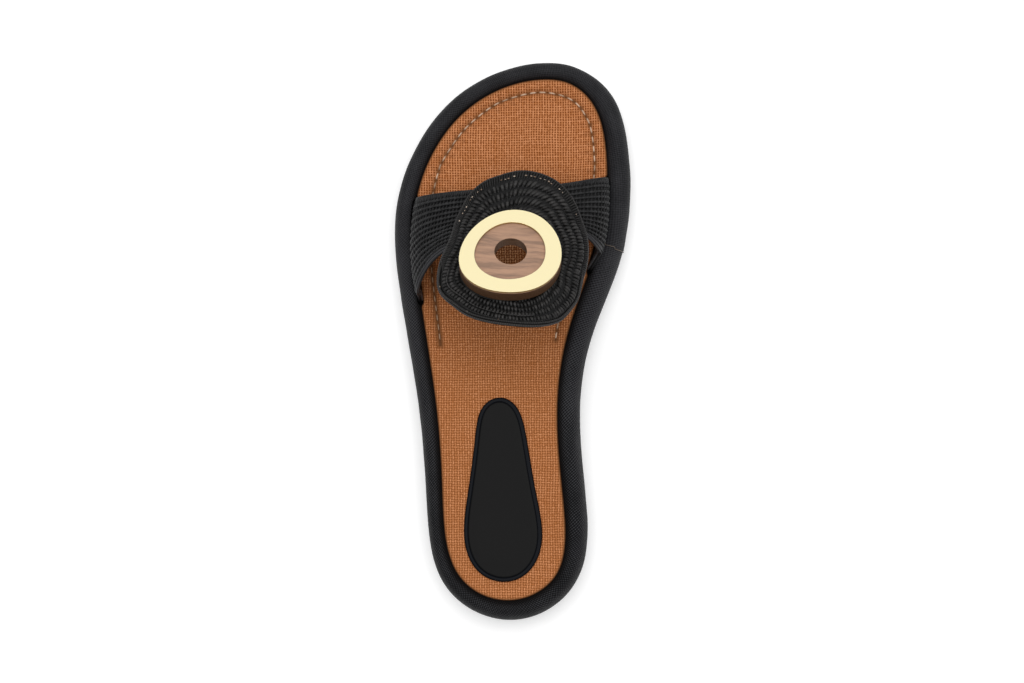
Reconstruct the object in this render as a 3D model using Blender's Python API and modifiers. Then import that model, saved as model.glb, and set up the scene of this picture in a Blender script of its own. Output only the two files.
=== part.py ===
"""Left slide sandal with a woven strap, a round woven plaque and a walnut and gold disc.

The sandal stands on Z = 0 with its toe at +Y and the inner side of the foot at +X.
Sizes below are millimetres; MM turns them into Blender's metres where a mesh is made.
"""

import math

import bmesh
import bpy
import numpy as np
from mathutils import Matrix, Vector

MM = 0.001
GAP = 0.3

# The sole. A station is an angle: 0 at the heel tip, 180 at the toe tip, and its section
# lies at y = -HALF_LENGTH * cos(station).
HALF_LENGTH = 127.5
SOLE_COLUMNS = ("station", "lateral x", "medial x", "lateral rim", "medial rim")
SOLE_SECTIONS = (
    (0, -0.9, -0.9, 9.5, 9.5),
    (15, -18.1, 15.7, 9.0, 9.6),
    (30, -31.7, 28.9, 8.6, 9.5),
    (45, -37.9, 34.3, 8.1, 10.1),
    (60, -39.9, 32.8, 8.4, 10.4),
    (75, -42.7, 31.0, 8.8, 10.4),
    (90, -48.0, 36.0, 9.2, 11.0),
    (105, -53.4, 48.4, 9.8, 12.2),
    (120, -53.5, 54.1, 9.4, 11.4),
    (135, -44.1, 52.9, 8.7, 10.3),
    (150, -28.3, 47.1, 8.5, 10.0),
    (165, -6.8, 33.7, 8.1, 8.6),
    (180, 15.8, 15.8, 8.2, 8.2),
)
BED_COLUMNS = ("y", "height of the insole's top")
BED_SECTIONS = (
    (-128, 21.6),
    (-85, 20.3),
    (-30, 19.6),
    (25, 16.9),
    (60, 15.3),
    (90, 15.8),
    (128, 19.6),
)
DISH = 1.1
DISH_SPAN = 38.0
TOE_SPRING = 5.0
TOE_SPRING_START = 68.0
HEEL_SPRING = 1.2
HEEL_SPRING_START = -112.0
ARCH_LIFT = 1.6
ARCH_MIDDLE = -7.0
ARCH_REACH = 35.0

OUTSOLE_THICKNESS = 4.0
OUTSOLE_FOOT = 0.36
OUTSOLE_SHOULDER = 0.27
SOLE_SHARES = (0.0, 0.5, 1.0)
TREAD_WIDTH = 2.5
TREAD_DEPTH = 1.5
TREAD_PITCH = 9.0
TREAD_REACH = 80.0
TREAD_CLEARANCE = 3.0
TREAD_COLUMNS = ("first groove y", "grooves")
TREAD_RUNS = ((-112.0, 3), (-70.0, 3), (22.0, 3), (64.0, 5))

# The rim is a padded roll. Shares are parts of its width, counted inwards from the outline, and
# turns are the angles of its section's points: up the side, on to the crest, down to the groove.
RIM_RISE = 3.4
RIM_FOOT = 0.30
RIM_CREST = 0.50
RIM_GROOVE = 0.8
WIDEST_SHARE = 0.5
SIDE_TURNS = (30.0, 60.0, 90.0)
CREST_TURNS = (25.0, 45.0, 62.0, 76.0, 90.0)
GROOVE_TURNS = (28.0, 52.0, 72.0, 90.0)
INSOLE_THICKNESS = 3.0
INSOLE_SHARES = (0.0, 0.4, 0.75, 1.0)
ROUND = 72

# The heel pad lies on the insole, and a bead runs round it.
PAD_MIDDLE = -67.9
PAD_HALF_LENGTH = 41.4
PAD_COLUMNS = ("station", "lateral x", "medial x")
PAD_SECTIONS = (
    (0, -3.2, -3.2),
    (30, -15.3, 8.8),
    (60, -20.9, 14.1),
    (90, -19.1, 11.1),
    (120, -16.6, 7.5),
    (150, -13.8, 3.3),
    (180, -5.2, -5.2),
)
PAD_PROFILE_COLUMNS = ("inset", "height above the insole")
PAD_PROFILE = ((0.0, 0.8), (0.4, 1.4), (1.2, 1.8), (2.0, 1.4), (2.6, 1.0))
PAD_ROUND = 48

# The last under the strap: a crown over the bed, widest a little above the rim.
LAST_COLUMNS = ("y", "ridge height above the bed", "lateral x", "medial x")
LAST_SECTIONS = (
    (-8, 64.0, -38.0, 32.0),
    (10, 52.8, -38.6, 34.0),
    (29, 41.6, -42.0, 37.0),
    (45, 33.1, -43.2, 41.4),
    (60, 27.3, -41.8, 42.9),
    (76, 23.6, -39.5, 43.0),
)
RIDGE_X = 4.0
CROWN_POWER = 2.3
WIDEST_RISE = 12.0

STRAP_THICKNESS = 2.4
STRAP_INSET = 0.5
STRAP_COLUMNS = ("place across", "front y", "rear y")
STRAP_EDGES = (
    (-1.0, 64.2, 20.0),
    (-0.86, 64.7, 29.5),
    (-0.6, 65.5, 38.2),
    (0.0, 66.8, 48.5),
    (0.6, 69.0, 47.0),
    (0.88, 71.5, 43.0),
    (1.0, 72.8, 39.0),
)
STRAP_FOOT_COLUMNS = ("side", "front y", "rear y")
STRAP_FEET = ((-1.0, 64.0, 18.0), (1.0, 72.9, 32.0))
STRAP_TUCK_STEPS = 2
STRAP_FLANK_STEPS = 5
STRAP_CROWN_STEPS = 9
STRAP_ROWS = 8
SLOT_RISE = 0.6

# The disc: a flat walnut piece under a gold ring, set square to the instep.
DISC_X = 2.6
DISC_Y = 29.9
DISC_SLOPE = 31.5
DISC_LEAN = 3.5
DISC_THICKNESS = 5.2
HOLE_RADIUS = 7.1
HOLE_OFFSET = 0.8
RING_THICKNESS = 0.9
EDGE_ROUNDING = 0.35
RING_COLUMNS = ("clock angle", "outer radius", "inner radius")
RING_RADII = (
    (0, 22.2, 15.2),
    (30, 22.1, 15.5),
    (60, 22.8, 15.9),
    (90, 22.6, 15.8),
    (120, 21.2, 15.2),
    (150, 20.7, 14.9),
    (180, 21.9, 15.6),
    (210, 23.7, 16.3),
    (240, 22.9, 15.8),
    (270, 21.9, 15.1),
    (300, 22.5, 15.1),
    (330, 22.8, 15.4),
)
DISC_ROUND = 72
HOLE_ROUND = 36

# The plaque under the disc, its outline measured in plan from the disc's middle.
PLAQUE_THICKNESS = 2.6
PLAQUE_GAP = 0.5
PLAQUE_HOLE = 0.52
PLAQUE_SHARES = (1.0, 0.75, 0.5, 0.25, 0.0)
PLAQUE_HIDDEN_SHARES = (0.8, PLAQUE_HOLE)
PLAQUE_COLUMNS = ("clock angle", "radius in plan")
PLAQUE_RADII = (
    (0, 30.0),
    (20, 32.7),
    (40, 37.2),
    (60, 42.8),
    (75, 44.3),
    (88, 43.8),
    (97, 42.4),
    (107, 41.2),
    (120, 38.0),
    (135, 32.9),
    (150, 29.0),
    (165, 28.0),
    (180, 28.9),
    (190, 29.5),
    (200, 30.0),
    (208, 29.5),
    (218, 28.6),
    (235, 28.6),
    (255, 28.6),
    (275, 29.5),
    (290, 31.4),
    (303, 32.2),
    (315, 30.8),
    (323, 30.1),
    (331, 29.8),
    (341, 29.2),
    (350, 29.2),
)
PLAQUE_ROUND = 48
FLAT_REACH = 1.05
FLAT_BLEND = 0.55


def spline(knots, values, period=0.0):
    """Cubic through the values at the knots: natural ends, or closed where a period is given."""
    x = np.array(knots, dtype=float)
    y = np.array(values, dtype=float)
    if period:
        x = np.append(x, x[0] + period)
        y = np.append(y, y[0])
    last = len(x) - 1
    step = np.diff(x)
    slope = np.diff(y) / step
    matrix = np.zeros((last + 1, last + 1))
    right = np.zeros(last + 1)
    for i in range(1, last):
        matrix[i, i - 1:i + 2] = step[i - 1], 2.0 * (step[i - 1] + step[i]), step[i]
        right[i] = 6.0 * (slope[i] - slope[i - 1])
    if period:
        matrix[0, 0] = 1.0
        matrix[0, last] = -1.0
        matrix[last, 0:2] += 2.0 * step[0], step[0]
        matrix[last, last - 1:] += step[-1], 2.0 * step[-1]
        right[last] = 6.0 * (slope[0] - slope[-1])
    else:
        matrix[0, 0] = 1.0
        matrix[last, last] = 1.0
    bend = np.linalg.solve(matrix, right)

    def value(at):
        at = np.asarray(at, dtype=float)
        if period:
            at = (at - x[0]) % period + x[0]
        i = np.clip(np.searchsorted(x, at, side="right") - 1, 0, last - 1)
        b = (at - x[i]) / step[i]
        a = 1.0 - b
        curve = (a ** 3 - a) * bend[i] + (b ** 3 - b) * bend[i + 1]
        return a * y[i] + b * y[i + 1] + curve * step[i] ** 2 / 6.0

    return value


def columns(rows):
    """The table's columns, each as an array."""
    return [np.array(column, dtype=float) for column in zip(*rows)]


def all_round(station, lateral, medial):
    """Closed spline over 360 degrees: up the medial side, and back down the lateral side."""
    angles = np.concatenate([station, 360.0 - station[-2:0:-1]])
    values = np.concatenate([medial, lateral[-2:0:-1]])
    return spline(angles, values, 360.0)


def smooth_step(t):
    """0 below 0, 1 above 1, and an S-curve between."""
    t = np.clip(t, 0.0, 1.0)
    return t * t * (3.0 - 2.0 * t)


SOLE_STATION, SOLE_LATERAL, SOLE_MEDIAL, RIM_LATERAL, RIM_MEDIAL = columns(SOLE_SECTIONS)
SOLE_X = all_round(SOLE_STATION, SOLE_LATERAL, SOLE_MEDIAL)
RIM_WIDTH = all_round(SOLE_STATION, RIM_LATERAL, RIM_MEDIAL)
SOLE_MIDDLE = spline(-HALF_LENGTH * np.cos(np.radians(SOLE_STATION)), (SOLE_LATERAL + SOLE_MEDIAL) / 2.0)
BED_LINE = spline(*columns(BED_SECTIONS))
PAD_X = all_round(*columns(PAD_SECTIONS))
RING_CLOCK, RING_OUTER_RADIUS, RING_INNER_RADIUS = columns(RING_RADII)
RING_OUTER = spline(RING_CLOCK, RING_OUTER_RADIUS, 360.0)
RING_INNER = spline(RING_CLOCK, RING_INNER_RADIUS, 360.0)
PLAQUE_OUTER = spline(*columns(PLAQUE_RADII), 360.0)
LAST_Y, LAST_HEIGHT_ROWS, LAST_LATERAL_ROWS, LAST_MEDIAL_ROWS = columns(LAST_SECTIONS)
LAST_RIDGE = spline(LAST_Y, LAST_HEIGHT_ROWS)
LAST_LATERAL = spline(LAST_Y, LAST_LATERAL_ROWS)
LAST_MEDIAL = spline(LAST_Y, LAST_MEDIAL_ROWS)
STRAP_PLACE, STRAP_FRONT_ROWS, STRAP_REAR_ROWS = columns(STRAP_EDGES)
STRAP_FRONT = spline(STRAP_PLACE, STRAP_FRONT_ROWS)
STRAP_REAR = spline(STRAP_PLACE, STRAP_REAR_ROWS)


def outline_shift():
    """What brings the middle of the outline's width to x = 0."""
    x = SOLE_X(np.arange(0.0, 360.0, 0.5))
    return -(x.max() + x.min()) / 2.0


SHIFT_X = outline_shift()


def moved_in(points, distance):
    """Closed loop of plan points moved inwards, square to itself, by a distance at each point."""
    along = np.roll(points, -1, axis=0) - np.roll(points, 1, axis=0)
    along /= np.linalg.norm(along, axis=1)[:, None]
    inwards = np.stack([-along[:, 1], along[:, 0]], axis=1)
    return points + inwards * np.broadcast_to(distance, len(points))[:, None]


def sole_outline(share=0.0, inset=0.0, count=ROUND):
    """Plan points of the outline, moved in by a share of the rim's width and an inset."""
    fine = 8
    angle = np.arange(count * fine) * 360.0 / (count * fine)
    points = np.stack([SOLE_X(angle) + SHIFT_X, -HALF_LENGTH * np.cos(np.radians(angle))], axis=1)
    return moved_in(points, RIM_WIDTH(angle) * share + inset)[::fine]


def pad_outline(inset=0.0):
    """Plan points of the heel pad's outline, moved in by an inset."""
    fine = 8
    angle = np.arange(PAD_ROUND * fine) * 360.0 / (PAD_ROUND * fine)
    y = PAD_MIDDLE - PAD_HALF_LENGTH * np.cos(np.radians(angle))
    return moved_in(np.stack([PAD_X(angle), y], axis=1), inset)[::fine]


def underside(y):
    """Height of the sole's lower face: flat at heel and ball, lifted at arch, toe and heel tip."""
    arch = np.cos(np.clip((y - ARCH_MIDDLE) / ARCH_REACH, -1.0, 1.0) * math.pi / 2.0) ** 2
    toe = np.clip((y - TOE_SPRING_START) / (HALF_LENGTH - TOE_SPRING_START), 0.0, None) ** 2
    heel = np.clip((HEEL_SPRING_START - y) / (HALF_LENGTH + HEEL_SPRING_START), 0.0, None) ** 2
    return ARCH_LIFT * arch + TOE_SPRING * toe + HEEL_SPRING * heel


def bed_height(x, y):
    """Height of the insole's top face, a shallow dish across the foot."""
    return BED_LINE(y) + DISH * ((x - SOLE_MIDDLE(y) - SHIFT_X) / DISH_SPAN) ** 2


def towards_middle(loop, shares):
    """Loops between a closed loop (share 1) and the seam half-way to its other side (share 0)."""
    other_side = loop[(-np.arange(len(loop))) % len(loop)]
    middle = (loop + other_side) / 2.0
    return [middle + (loop - middle) * share for share in shares]


def raised(loop, height):
    """Plan points as space points, at a height or at a function of x and y."""
    z = height(loop[:, 0], loop[:, 1]) if callable(height) else np.full(len(loop), height)
    return np.column_stack([loop, z])


def new_object(name, mesh_maker, collection):
    """Object in the collection whose mesh is filled by a bmesh function."""
    mesh = bpy.data.meshes.new(name)
    bm = bmesh.new()
    mesh_maker(bm)
    bm.to_mesh(mesh)
    bm.free()
    thing = bpy.data.objects.new(name, mesh)
    collection.objects.link(thing)
    return thing


def loft(bm, loops, closed=True):
    """Quads between successive loops of millimetre points; doubled points are welded."""
    rows = [[bm.verts.new(Vector(point) * MM) for point in loop] for loop in loops]
    count = len(loops[0])
    for lower, upper in zip(rows, rows[1:]):
        for i in range(count if closed else count - 1):
            j = (i + 1) % count
            bm.faces.new((lower[i], lower[j], upper[j], upper[i]))
    bmesh.ops.remove_doubles(bm, verts=bm.verts, dist=0.01 * MM)


def face_outwards(bm):
    """Turn a closed body's faces to the outside."""
    bmesh.ops.recalc_face_normals(bm, faces=bm.faces)


def loft_solid(name, loops, collection):
    """Closed body lofted from a seam through its loops to another seam."""
    def fill(bm):
        loft(bm, loops)
        face_outwards(bm)
    return new_object(name, fill, collection)


def slab_solid(name, loops, bottom, collection):
    """Open surface drawn straight down to a function of x and y, with upright edges."""
    def fill(bm):
        loft(bm, loops)
        drawn = bmesh.ops.extrude_face_region(bm, geom=list(bm.faces))
        lowered = [item for item in drawn["geom"] if isinstance(item, bmesh.types.BMVert)]
        for vert in lowered:
            vert.co.z = float(bottom(vert.co.x / MM, vert.co.y / MM)) * MM
        face_outwards(bm)
    return new_object(name, fill, collection)


def cut_away(target, cutter):
    """Exact Boolean that takes the cutter out of the target."""
    cut = target.modifiers.new(cutter.name, "BOOLEAN")
    cut.operation = "DIFFERENCE"
    cut.solver = "EXACT"
    cut.object = cutter


def solidify(thing, thickness, offset=1.0):
    """Give an open surface its wall, outwards from the surface by default."""
    wall = thing.modifiers.new("wall", "SOLIDIFY")
    wall.thickness = thickness * MM
    wall.offset = offset
    wall.use_even_offset = True


def make_outsole(parts, cutters):
    """Rubber outsole with toe spring, arch and cross grooves under heel and forefoot."""
    foot = sole_outline(share=OUTSOLE_FOOT)
    shoulder = sole_outline(share=OUTSOLE_SHOULDER)
    lower = [raised(loop, lambda x, y: underside(y)) for loop in towards_middle(foot, SOLE_SHARES)]
    upper = [
        raised(loop, lambda x, y: underside(y) + OUTSOLE_THICKNESS)
        for loop in towards_middle(shoulder, reversed(SOLE_SHARES))
    ]
    outsole = loft_solid("outsole", lower + upper, parts)
    cut_away(outsole, make_tread_cutter(cutters))
    return outsole


def make_tread_cutter(cutters):
    """Bars that cut the tread: one for each cross groove."""
    def fill(bm):
        for first, count in TREAD_RUNS:
            for i in range(count):
                y = first + i * TREAD_PITCH
                top = float(underside(y)) + TREAD_DEPTH
                height = top + TREAD_CLEARANCE
                place = Matrix.Translation(Vector((0.0, y, top - height / 2.0)) * MM)
                size = Matrix.Diagonal((2.0 * TREAD_REACH * MM, TREAD_WIDTH * MM, height * MM, 1.0))
                bmesh.ops.create_cube(bm, size=1.0, matrix=place @ size)
        face_outwards(bm)

    return new_object("cut_tread", fill, cutters)


def make_footbed(parts):
    """Wrapped midsole: rounded side wall, padded rim and the recess that holds the insole."""
    def low(x, y):
        return underside(y) + OUTSOLE_THICKNESS + GAP

    def crest(x, y):
        return bed_height(x, y) + RIM_RISE

    def between(part):
        return lambda x, y: low(x, y) + (crest(x, y) - low(x, y)) * part

    def floor(x, y):
        return bed_height(x, y) - INSOLE_THICKNESS - GAP

    loops = [raised(loop, low) for loop in towards_middle(sole_outline(RIM_FOOT), SOLE_SHARES)]
    for t in np.radians(SIDE_TURNS):
        loop = sole_outline(RIM_FOOT * (1.0 - math.sin(t)))
        loops.append(raised(loop, between(WIDEST_SHARE * (1.0 - math.cos(t)))))
    for t in np.radians(CREST_TURNS):
        loop = sole_outline(RIM_CREST * (1.0 - math.cos(t)))
        loops.append(raised(loop, between(WIDEST_SHARE + (1.0 - WIDEST_SHARE) * math.sin(t))))
    drop = RIM_RISE + RIM_GROOVE
    for t in np.radians(GROOVE_TURNS):
        loop = sole_outline(RIM_CREST + (1.0 - RIM_CREST) * math.sin(t))
        fall = drop * (1.0 - math.cos(t))
        loops.append(raised(loop, lambda x, y, fall=fall: crest(x, y) - fall))
    loops.extend(raised(loop, floor) for loop in towards_middle(sole_outline(1.0), reversed(INSOLE_SHARES)))
    return loft_solid("footbed", loops, parts)


def make_insole(parts):
    """Woven insole laid in the recess."""
    edge = sole_outline(1.0, GAP)
    loops = [raised(loop, bed_height) for loop in towards_middle(edge, INSOLE_SHARES)]
    return slab_solid("insole", loops, lambda x, y: bed_height(x, y) - INSOLE_THICKNESS, parts)


def make_heel_pad(parts):
    """Teardrop heel pad with a raised bead near its edge."""
    loops = []
    inner_inset, inner_height = PAD_PROFILE[-1]
    for loop in towards_middle(pad_outline(inner_inset), (0.0, 0.5)):
        loops.append(raised(loop, lambda x, y: bed_height(x, y) + GAP + inner_height))
    for inset, height in reversed(PAD_PROFILE):
        loops.append(raised(pad_outline(inset), lambda x, y, h=height: bed_height(x, y) + GAP + h))
    return slab_solid("heel_pad", loops, lambda x, y: bed_height(x, y) + GAP, parts)


def disc_axes():
    """Rotation of the disc: its face follows the instep's slope and leans to the medial side."""
    slope = Matrix.Rotation(math.radians(-DISC_SLOPE), 4, "X")
    lean = Matrix.Rotation(math.radians(DISC_LEAN), 4, "Y")
    return slope @ lean


def crown_height(x, y):
    """Height of the last over a plan point: a superellipse on either side of the ridge."""
    reach = np.where(x < RIDGE_X, RIDGE_X - LAST_LATERAL(y), LAST_MEDIAL(y) - RIDGE_X)
    share = np.clip(np.abs(x - RIDGE_X) / reach, 0.0, 1.0)
    rise = LAST_RIDGE(y) - WIDEST_RISE
    return BED_LINE(y) + WIDEST_RISE + rise * (1.0 - share ** CROWN_POWER) ** (1.0 / CROWN_POWER)


def seat_plane(x, y):
    """Height of the plane that the disc is set on, where it touches the last."""
    normal = disc_axes() @ Vector((0.0, 0.0, 1.0))
    start = float(crown_height(DISC_X, DISC_Y))
    return start - (normal.x * (x - DISC_X) + normal.y * (y - DISC_Y)) / normal.z


def seat_weight(x, y):
    """1 under the disc, fading to 0 outside it."""
    foreshortened = math.cos(math.radians(DISC_SLOPE))
    radius = RING_OUTER_RADIUS.max()
    away = np.hypot((x - DISC_X) / radius, (y - DISC_Y) / (radius * foreshortened))
    return 1.0 - smooth_step((away - FLAT_REACH) / FLAT_BLEND)


def upper_height(x, y):
    """The upper's own form: the last, flattened where the disc is set on it."""
    crown = crown_height(x, y)
    return crown + (seat_plane(x, y) - crown) * seat_weight(x, y)


def above_upper(points, distance):
    """Plan points put on the upper's form and moved out along its normal."""
    x, y = points[:, 0], points[:, 1]
    step = 0.05
    slope_x = (upper_height(x + step, y) - upper_height(x - step, y)) / (2.0 * step)
    slope_y = (upper_height(x, y + step) - upper_height(x, y - step)) / (2.0 * step)
    normal = np.column_stack([-slope_x, -slope_y, np.ones(len(x))])
    normal /= np.linalg.norm(normal, axis=1)[:, None]
    return np.column_stack([x, y, upper_height(x, y)]) + normal * distance


def inner_edge(y, side):
    """x of the rim's inner edge at y, on the lateral (-1) or medial (+1) side."""
    loop = sole_outline(1.0, 0.0, 360)
    half = len(loop) // 2
    run = loop[:half + 1] if side > 0 else loop[half:][::-1]
    order = np.argsort(run[:, 1])
    return np.interp(y, run[order, 1], run[order, 0])


def strap_side(side, edge_margin, top_rise):
    """Columns of one strap end, from its foot under the insole's edge to its widest place."""
    foot_front, foot_rear = next(row[1:] for row in STRAP_FEET if row[0] == side)

    def column(swell, height):
        front = foot_front + (float(STRAP_FRONT(side)) - foot_front) * swell + edge_margin
        rear = foot_rear + (float(STRAP_REAR(side)) - foot_rear) * swell - edge_margin
        y = np.linspace(front, rear, STRAP_ROWS + 1)
        groove = inner_edge(y, side) - side * STRAP_INSET
        reach = LAST_LATERAL(y) if side < 0 else LAST_MEDIAL(y)
        return np.column_stack([groove + (reach - groove) * swell, y, height(groove, y)])

    def tuck(part):
        depth = INSOLE_THICKNESS * (1.0 - part)
        return column(0.0, lambda x, y: bed_height(x, y) * (1.0 - part) + BED_LINE(y) * part - depth)

    def flank(part):
        swell = math.sin(part * math.pi / 2.0) ** 2
        return column(swell, lambda x, y: BED_LINE(y) + WIDEST_RISE * part)

    result = [tuck(part) for part in np.linspace(0.0, 1.0, STRAP_TUCK_STEPS, endpoint=False)]
    steps = int(round(STRAP_FLANK_STEPS * top_rise))
    result.extend(flank(part) for part in np.linspace(0.0, top_rise, steps + 1))
    return result


def strap_columns():
    """Columns of the strap's inner face, each from its front edge to its rear edge."""
    lateral = strap_side(-1.0, 0.0, 1.0)
    medial = strap_side(1.0, 0.0, 1.0)
    crown = []
    angles = np.radians(np.linspace(0.0, 180.0, 2 * STRAP_CROWN_STEPS + 1))[1:-1]
    for angle in angles:
        place = -math.copysign(abs(math.cos(angle)) ** (2.0 / CROWN_POWER), math.cos(angle))
        y = np.linspace(float(STRAP_FRONT(place)), float(STRAP_REAR(place)), STRAP_ROWS + 1)
        reach = LAST_MEDIAL(y) - RIDGE_X if place > 0 else RIDGE_X - LAST_LATERAL(y)
        x = RIDGE_X + place * reach
        crown.append(np.column_stack([x, y, upper_height(x, y)]))
    return lateral + crown + medial[::-1]


def make_strap(parts):
    """The upper: one woven wall over the instep, its ends tucked down beside the insole."""
    strap = new_object("strap", lambda bm: loft(bm, strap_columns(), closed=False), parts)
    solidify(strap, STRAP_THICKNESS)
    return strap


def make_slot_cutters(cutters):
    """Room for the strap's ends: the same surface, thicker and longer by the gap all round."""
    slots = []
    for name, side in (("cut_lateral_slot", -1.0), ("cut_medial_slot", 1.0)):
        wall = strap_side(side, GAP, SLOT_RISE)
        wall[0][:, 2] -= GAP
        order = wall if side < 0 else wall[::-1]
        slot = new_object(name, lambda bm: loft(bm, order, closed=False), cutters)
        solidify(slot, STRAP_THICKNESS + 2.0 * GAP, STRAP_THICKNESS / (STRAP_THICKNESS + 2.0 * GAP))
        slots.append(slot)
    return slots


def make_plaque(parts):
    """Woven plaque over the strap, flat under the disc and curved with the instep round it."""
    angle = np.arange(PLAQUE_ROUND) * 360.0 / PLAQUE_ROUND
    turn = np.radians(angle)
    foreshortened = math.cos(math.radians(DISC_SLOPE))
    flat_angle = np.arctan2(np.sin(turn) / foreshortened, np.cos(turn))
    under_disc = RING_OUTER(np.degrees(flat_angle))
    ray = np.stack([np.cos(turn), np.sin(turn)], axis=1)
    flat_ray = np.stack([np.cos(flat_angle), np.sin(flat_angle) * foreshortened], axis=1)
    inner = flat_ray * under_disc[:, None]
    outer = ray * PLAQUE_OUTER(angle)[:, None]
    middle = np.array([DISC_X, DISC_Y])
    plans = [middle + inner + (outer - inner) * part for part in PLAQUE_SHARES]
    plans.extend(middle + inner * part for part in PLAQUE_HIDDEN_SHARES)
    loops = [above_upper(plan, STRAP_THICKNESS + PLAQUE_GAP) for plan in plans]
    plaque = new_object("plaque", lambda bm: loft(bm, loops), parts)
    solidify(plaque, PLAQUE_THICKNESS)
    return plaque


def flat_plate(name, loops, thickness, collection):
    """Flat plate from closed plan loops, the first its edge and the rest holes."""
    curve = bpy.data.curves.new(name, "CURVE")
    curve.dimensions = "2D"
    curve.fill_mode = "BOTH"
    curve.extrude = thickness / 2.0 * MM
    for loop in loops:
        line = curve.splines.new("POLY")
        line.points.add(len(loop) - 1)
        for point, (x, y) in zip(line.points, loop):
            point.co = (x * MM, y * MM, 0.0, 1.0)
        line.use_cyclic_u = True
    plate = bpy.data.objects.new(name, curve)
    collection.objects.link(plate)
    weld = plate.modifiers.new("weld", "WELD")
    weld.merge_threshold = 0.00001
    rounding = plate.modifiers.new("edge", "BEVEL")
    rounding.width = EDGE_ROUNDING * MM
    rounding.segments = 2
    rounding.limit_method = "ANGLE"
    rounding.angle_limit = math.radians(50.0)
    return plate


def clock_loop(radius, count):
    """Plan points round the disc's middle, at a radius or at a function of the clock angle."""
    angle = np.arange(count) * 360.0 / count
    size = radius(angle) if callable(radius) else np.full(count, radius)
    turn = np.radians(angle)
    return np.stack([size * np.cos(turn), size * np.sin(turn)], axis=1)


def make_disc(parts):
    """Walnut disc with a round hole, and the gold ring on its face, on one tilted empty."""
    axes = disc_axes()
    normal = axes @ Vector((0.0, 0.0, 1.0))
    on_last = Vector((DISC_X, DISC_Y, float(crown_height(DISC_X, DISC_Y))))
    seat = bpy.data.objects.new("disc_seat", None)
    parts.objects.link(seat)
    stack = STRAP_THICKNESS + PLAQUE_GAP + PLAQUE_THICKNESS + GAP
    seat.matrix_world = Matrix.Translation((on_last + normal * stack) * MM) @ axes
    hole = clock_loop(HOLE_RADIUS, HOLE_ROUND) + np.array([0.0, HOLE_OFFSET])
    disc_loops = [clock_loop(RING_OUTER, DISC_ROUND), hole]
    disc = flat_plate("wood_disc", disc_loops, DISC_THICKNESS, parts)
    disc.parent = seat
    disc.location.z = DISC_THICKNESS / 2.0 * MM
    ring_loops = [clock_loop(RING_OUTER, DISC_ROUND), clock_loop(RING_INNER, DISC_ROUND)]
    ring = flat_plate("gold_ring", ring_loops, RING_THICKNESS, parts)
    ring.parent = seat
    ring.location.z = (DISC_THICKNESS + GAP + RING_THICKNESS / 2.0) * MM
    return disc, ring


def material(name, color, roughness, metallic=0.0):
    """Principled material of one colour."""
    made = bpy.data.materials.new(name)
    made.use_nodes = True
    shader = made.node_tree.nodes["Principled BSDF"]
    shader.inputs["Base Color"].default_value = (*color, 1.0)
    shader.inputs["Roughness"].default_value = roughness
    shader.inputs["Metallic"].default_value = metallic
    return made


def finish(thing, made, smooth_below=40.0):
    """Give a piece its material and smooth shading up to an edge angle."""
    thing.data.materials.append(made)
    if thing.type == "MESH":
        thing.data.shade_smooth()
        thing.data.set_sharp_from_angle(angle=math.radians(smooth_below))
    else:
        for line in thing.data.splines:
            line.use_smooth = True


def clear_scene():
    """Remove what the scene holds."""
    for thing in list(bpy.data.objects):
        bpy.data.objects.remove(thing, do_unlink=True)


def new_collection(name):
    """Collection under the scene's own."""
    made = bpy.data.collections.new(name)
    bpy.context.scene.collection.children.link(made)
    return made


def build():
    """Build the sandal."""
    clear_scene()
    parts = new_collection("slide_sandal")
    cutters = new_collection("cutters")
    outsole = make_outsole(parts, cutters)
    footbed = make_footbed(parts)
    insole = make_insole(parts)
    heel_pad = make_heel_pad(parts)
    strap = make_strap(parts)
    for slot in make_slot_cutters(cutters):
        cut_away(footbed, slot)
        cut_away(insole, slot)
    plaque = make_plaque(parts)
    disc, ring = make_disc(parts)
    for cutter in cutters.objects:
        cutter.hide_render = True
        cutter.display_type = "WIRE"

    finish(outsole, material("black_rubber", (0.02, 0.02, 0.02), 0.75))
    finish(footbed, material("black_canvas", (0.018, 0.018, 0.019), 0.85))
    finish(insole, material("brown_weave", (0.42, 0.155, 0.062), 0.8))
    finish(heel_pad, material("black_leather", (0.014, 0.014, 0.015), 0.45))
    finish(strap, material("black_braid", (0.012, 0.012, 0.013), 0.7))
    finish(plaque, material("black_crochet", (0.012, 0.012, 0.013), 0.7))
    finish(disc, material("walnut", (0.36, 0.22, 0.17), 0.55))
    finish(ring, material("gold", (0.95, 0.78, 0.45), 0.3, metallic=1.0))


build()
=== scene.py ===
"""Looks of a left slide sandal: wrapped footbed, woven insole, corded strap and plaque, gilt disc.

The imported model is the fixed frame. Its outsole, walnut disc and gilt ring stay and get better
finishes, and its soft pieces are modelled here again, finely, in the same places. Tables and surface
functions are in millimetres, and MM turns them into metres where a mesh is made. The toe is at +Y,
the inner side of the foot at +X, and the sandal stands on Z = 0.
"""

import logging
import math
from dataclasses import dataclass, field, replace
from enum import Enum
from functools import cached_property, partial, reduce
from typing import Sequence

import bmesh
import bpy
import numpy as np
from mathutils import Matrix, Vector
from numpy.typing import NDArray

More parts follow.
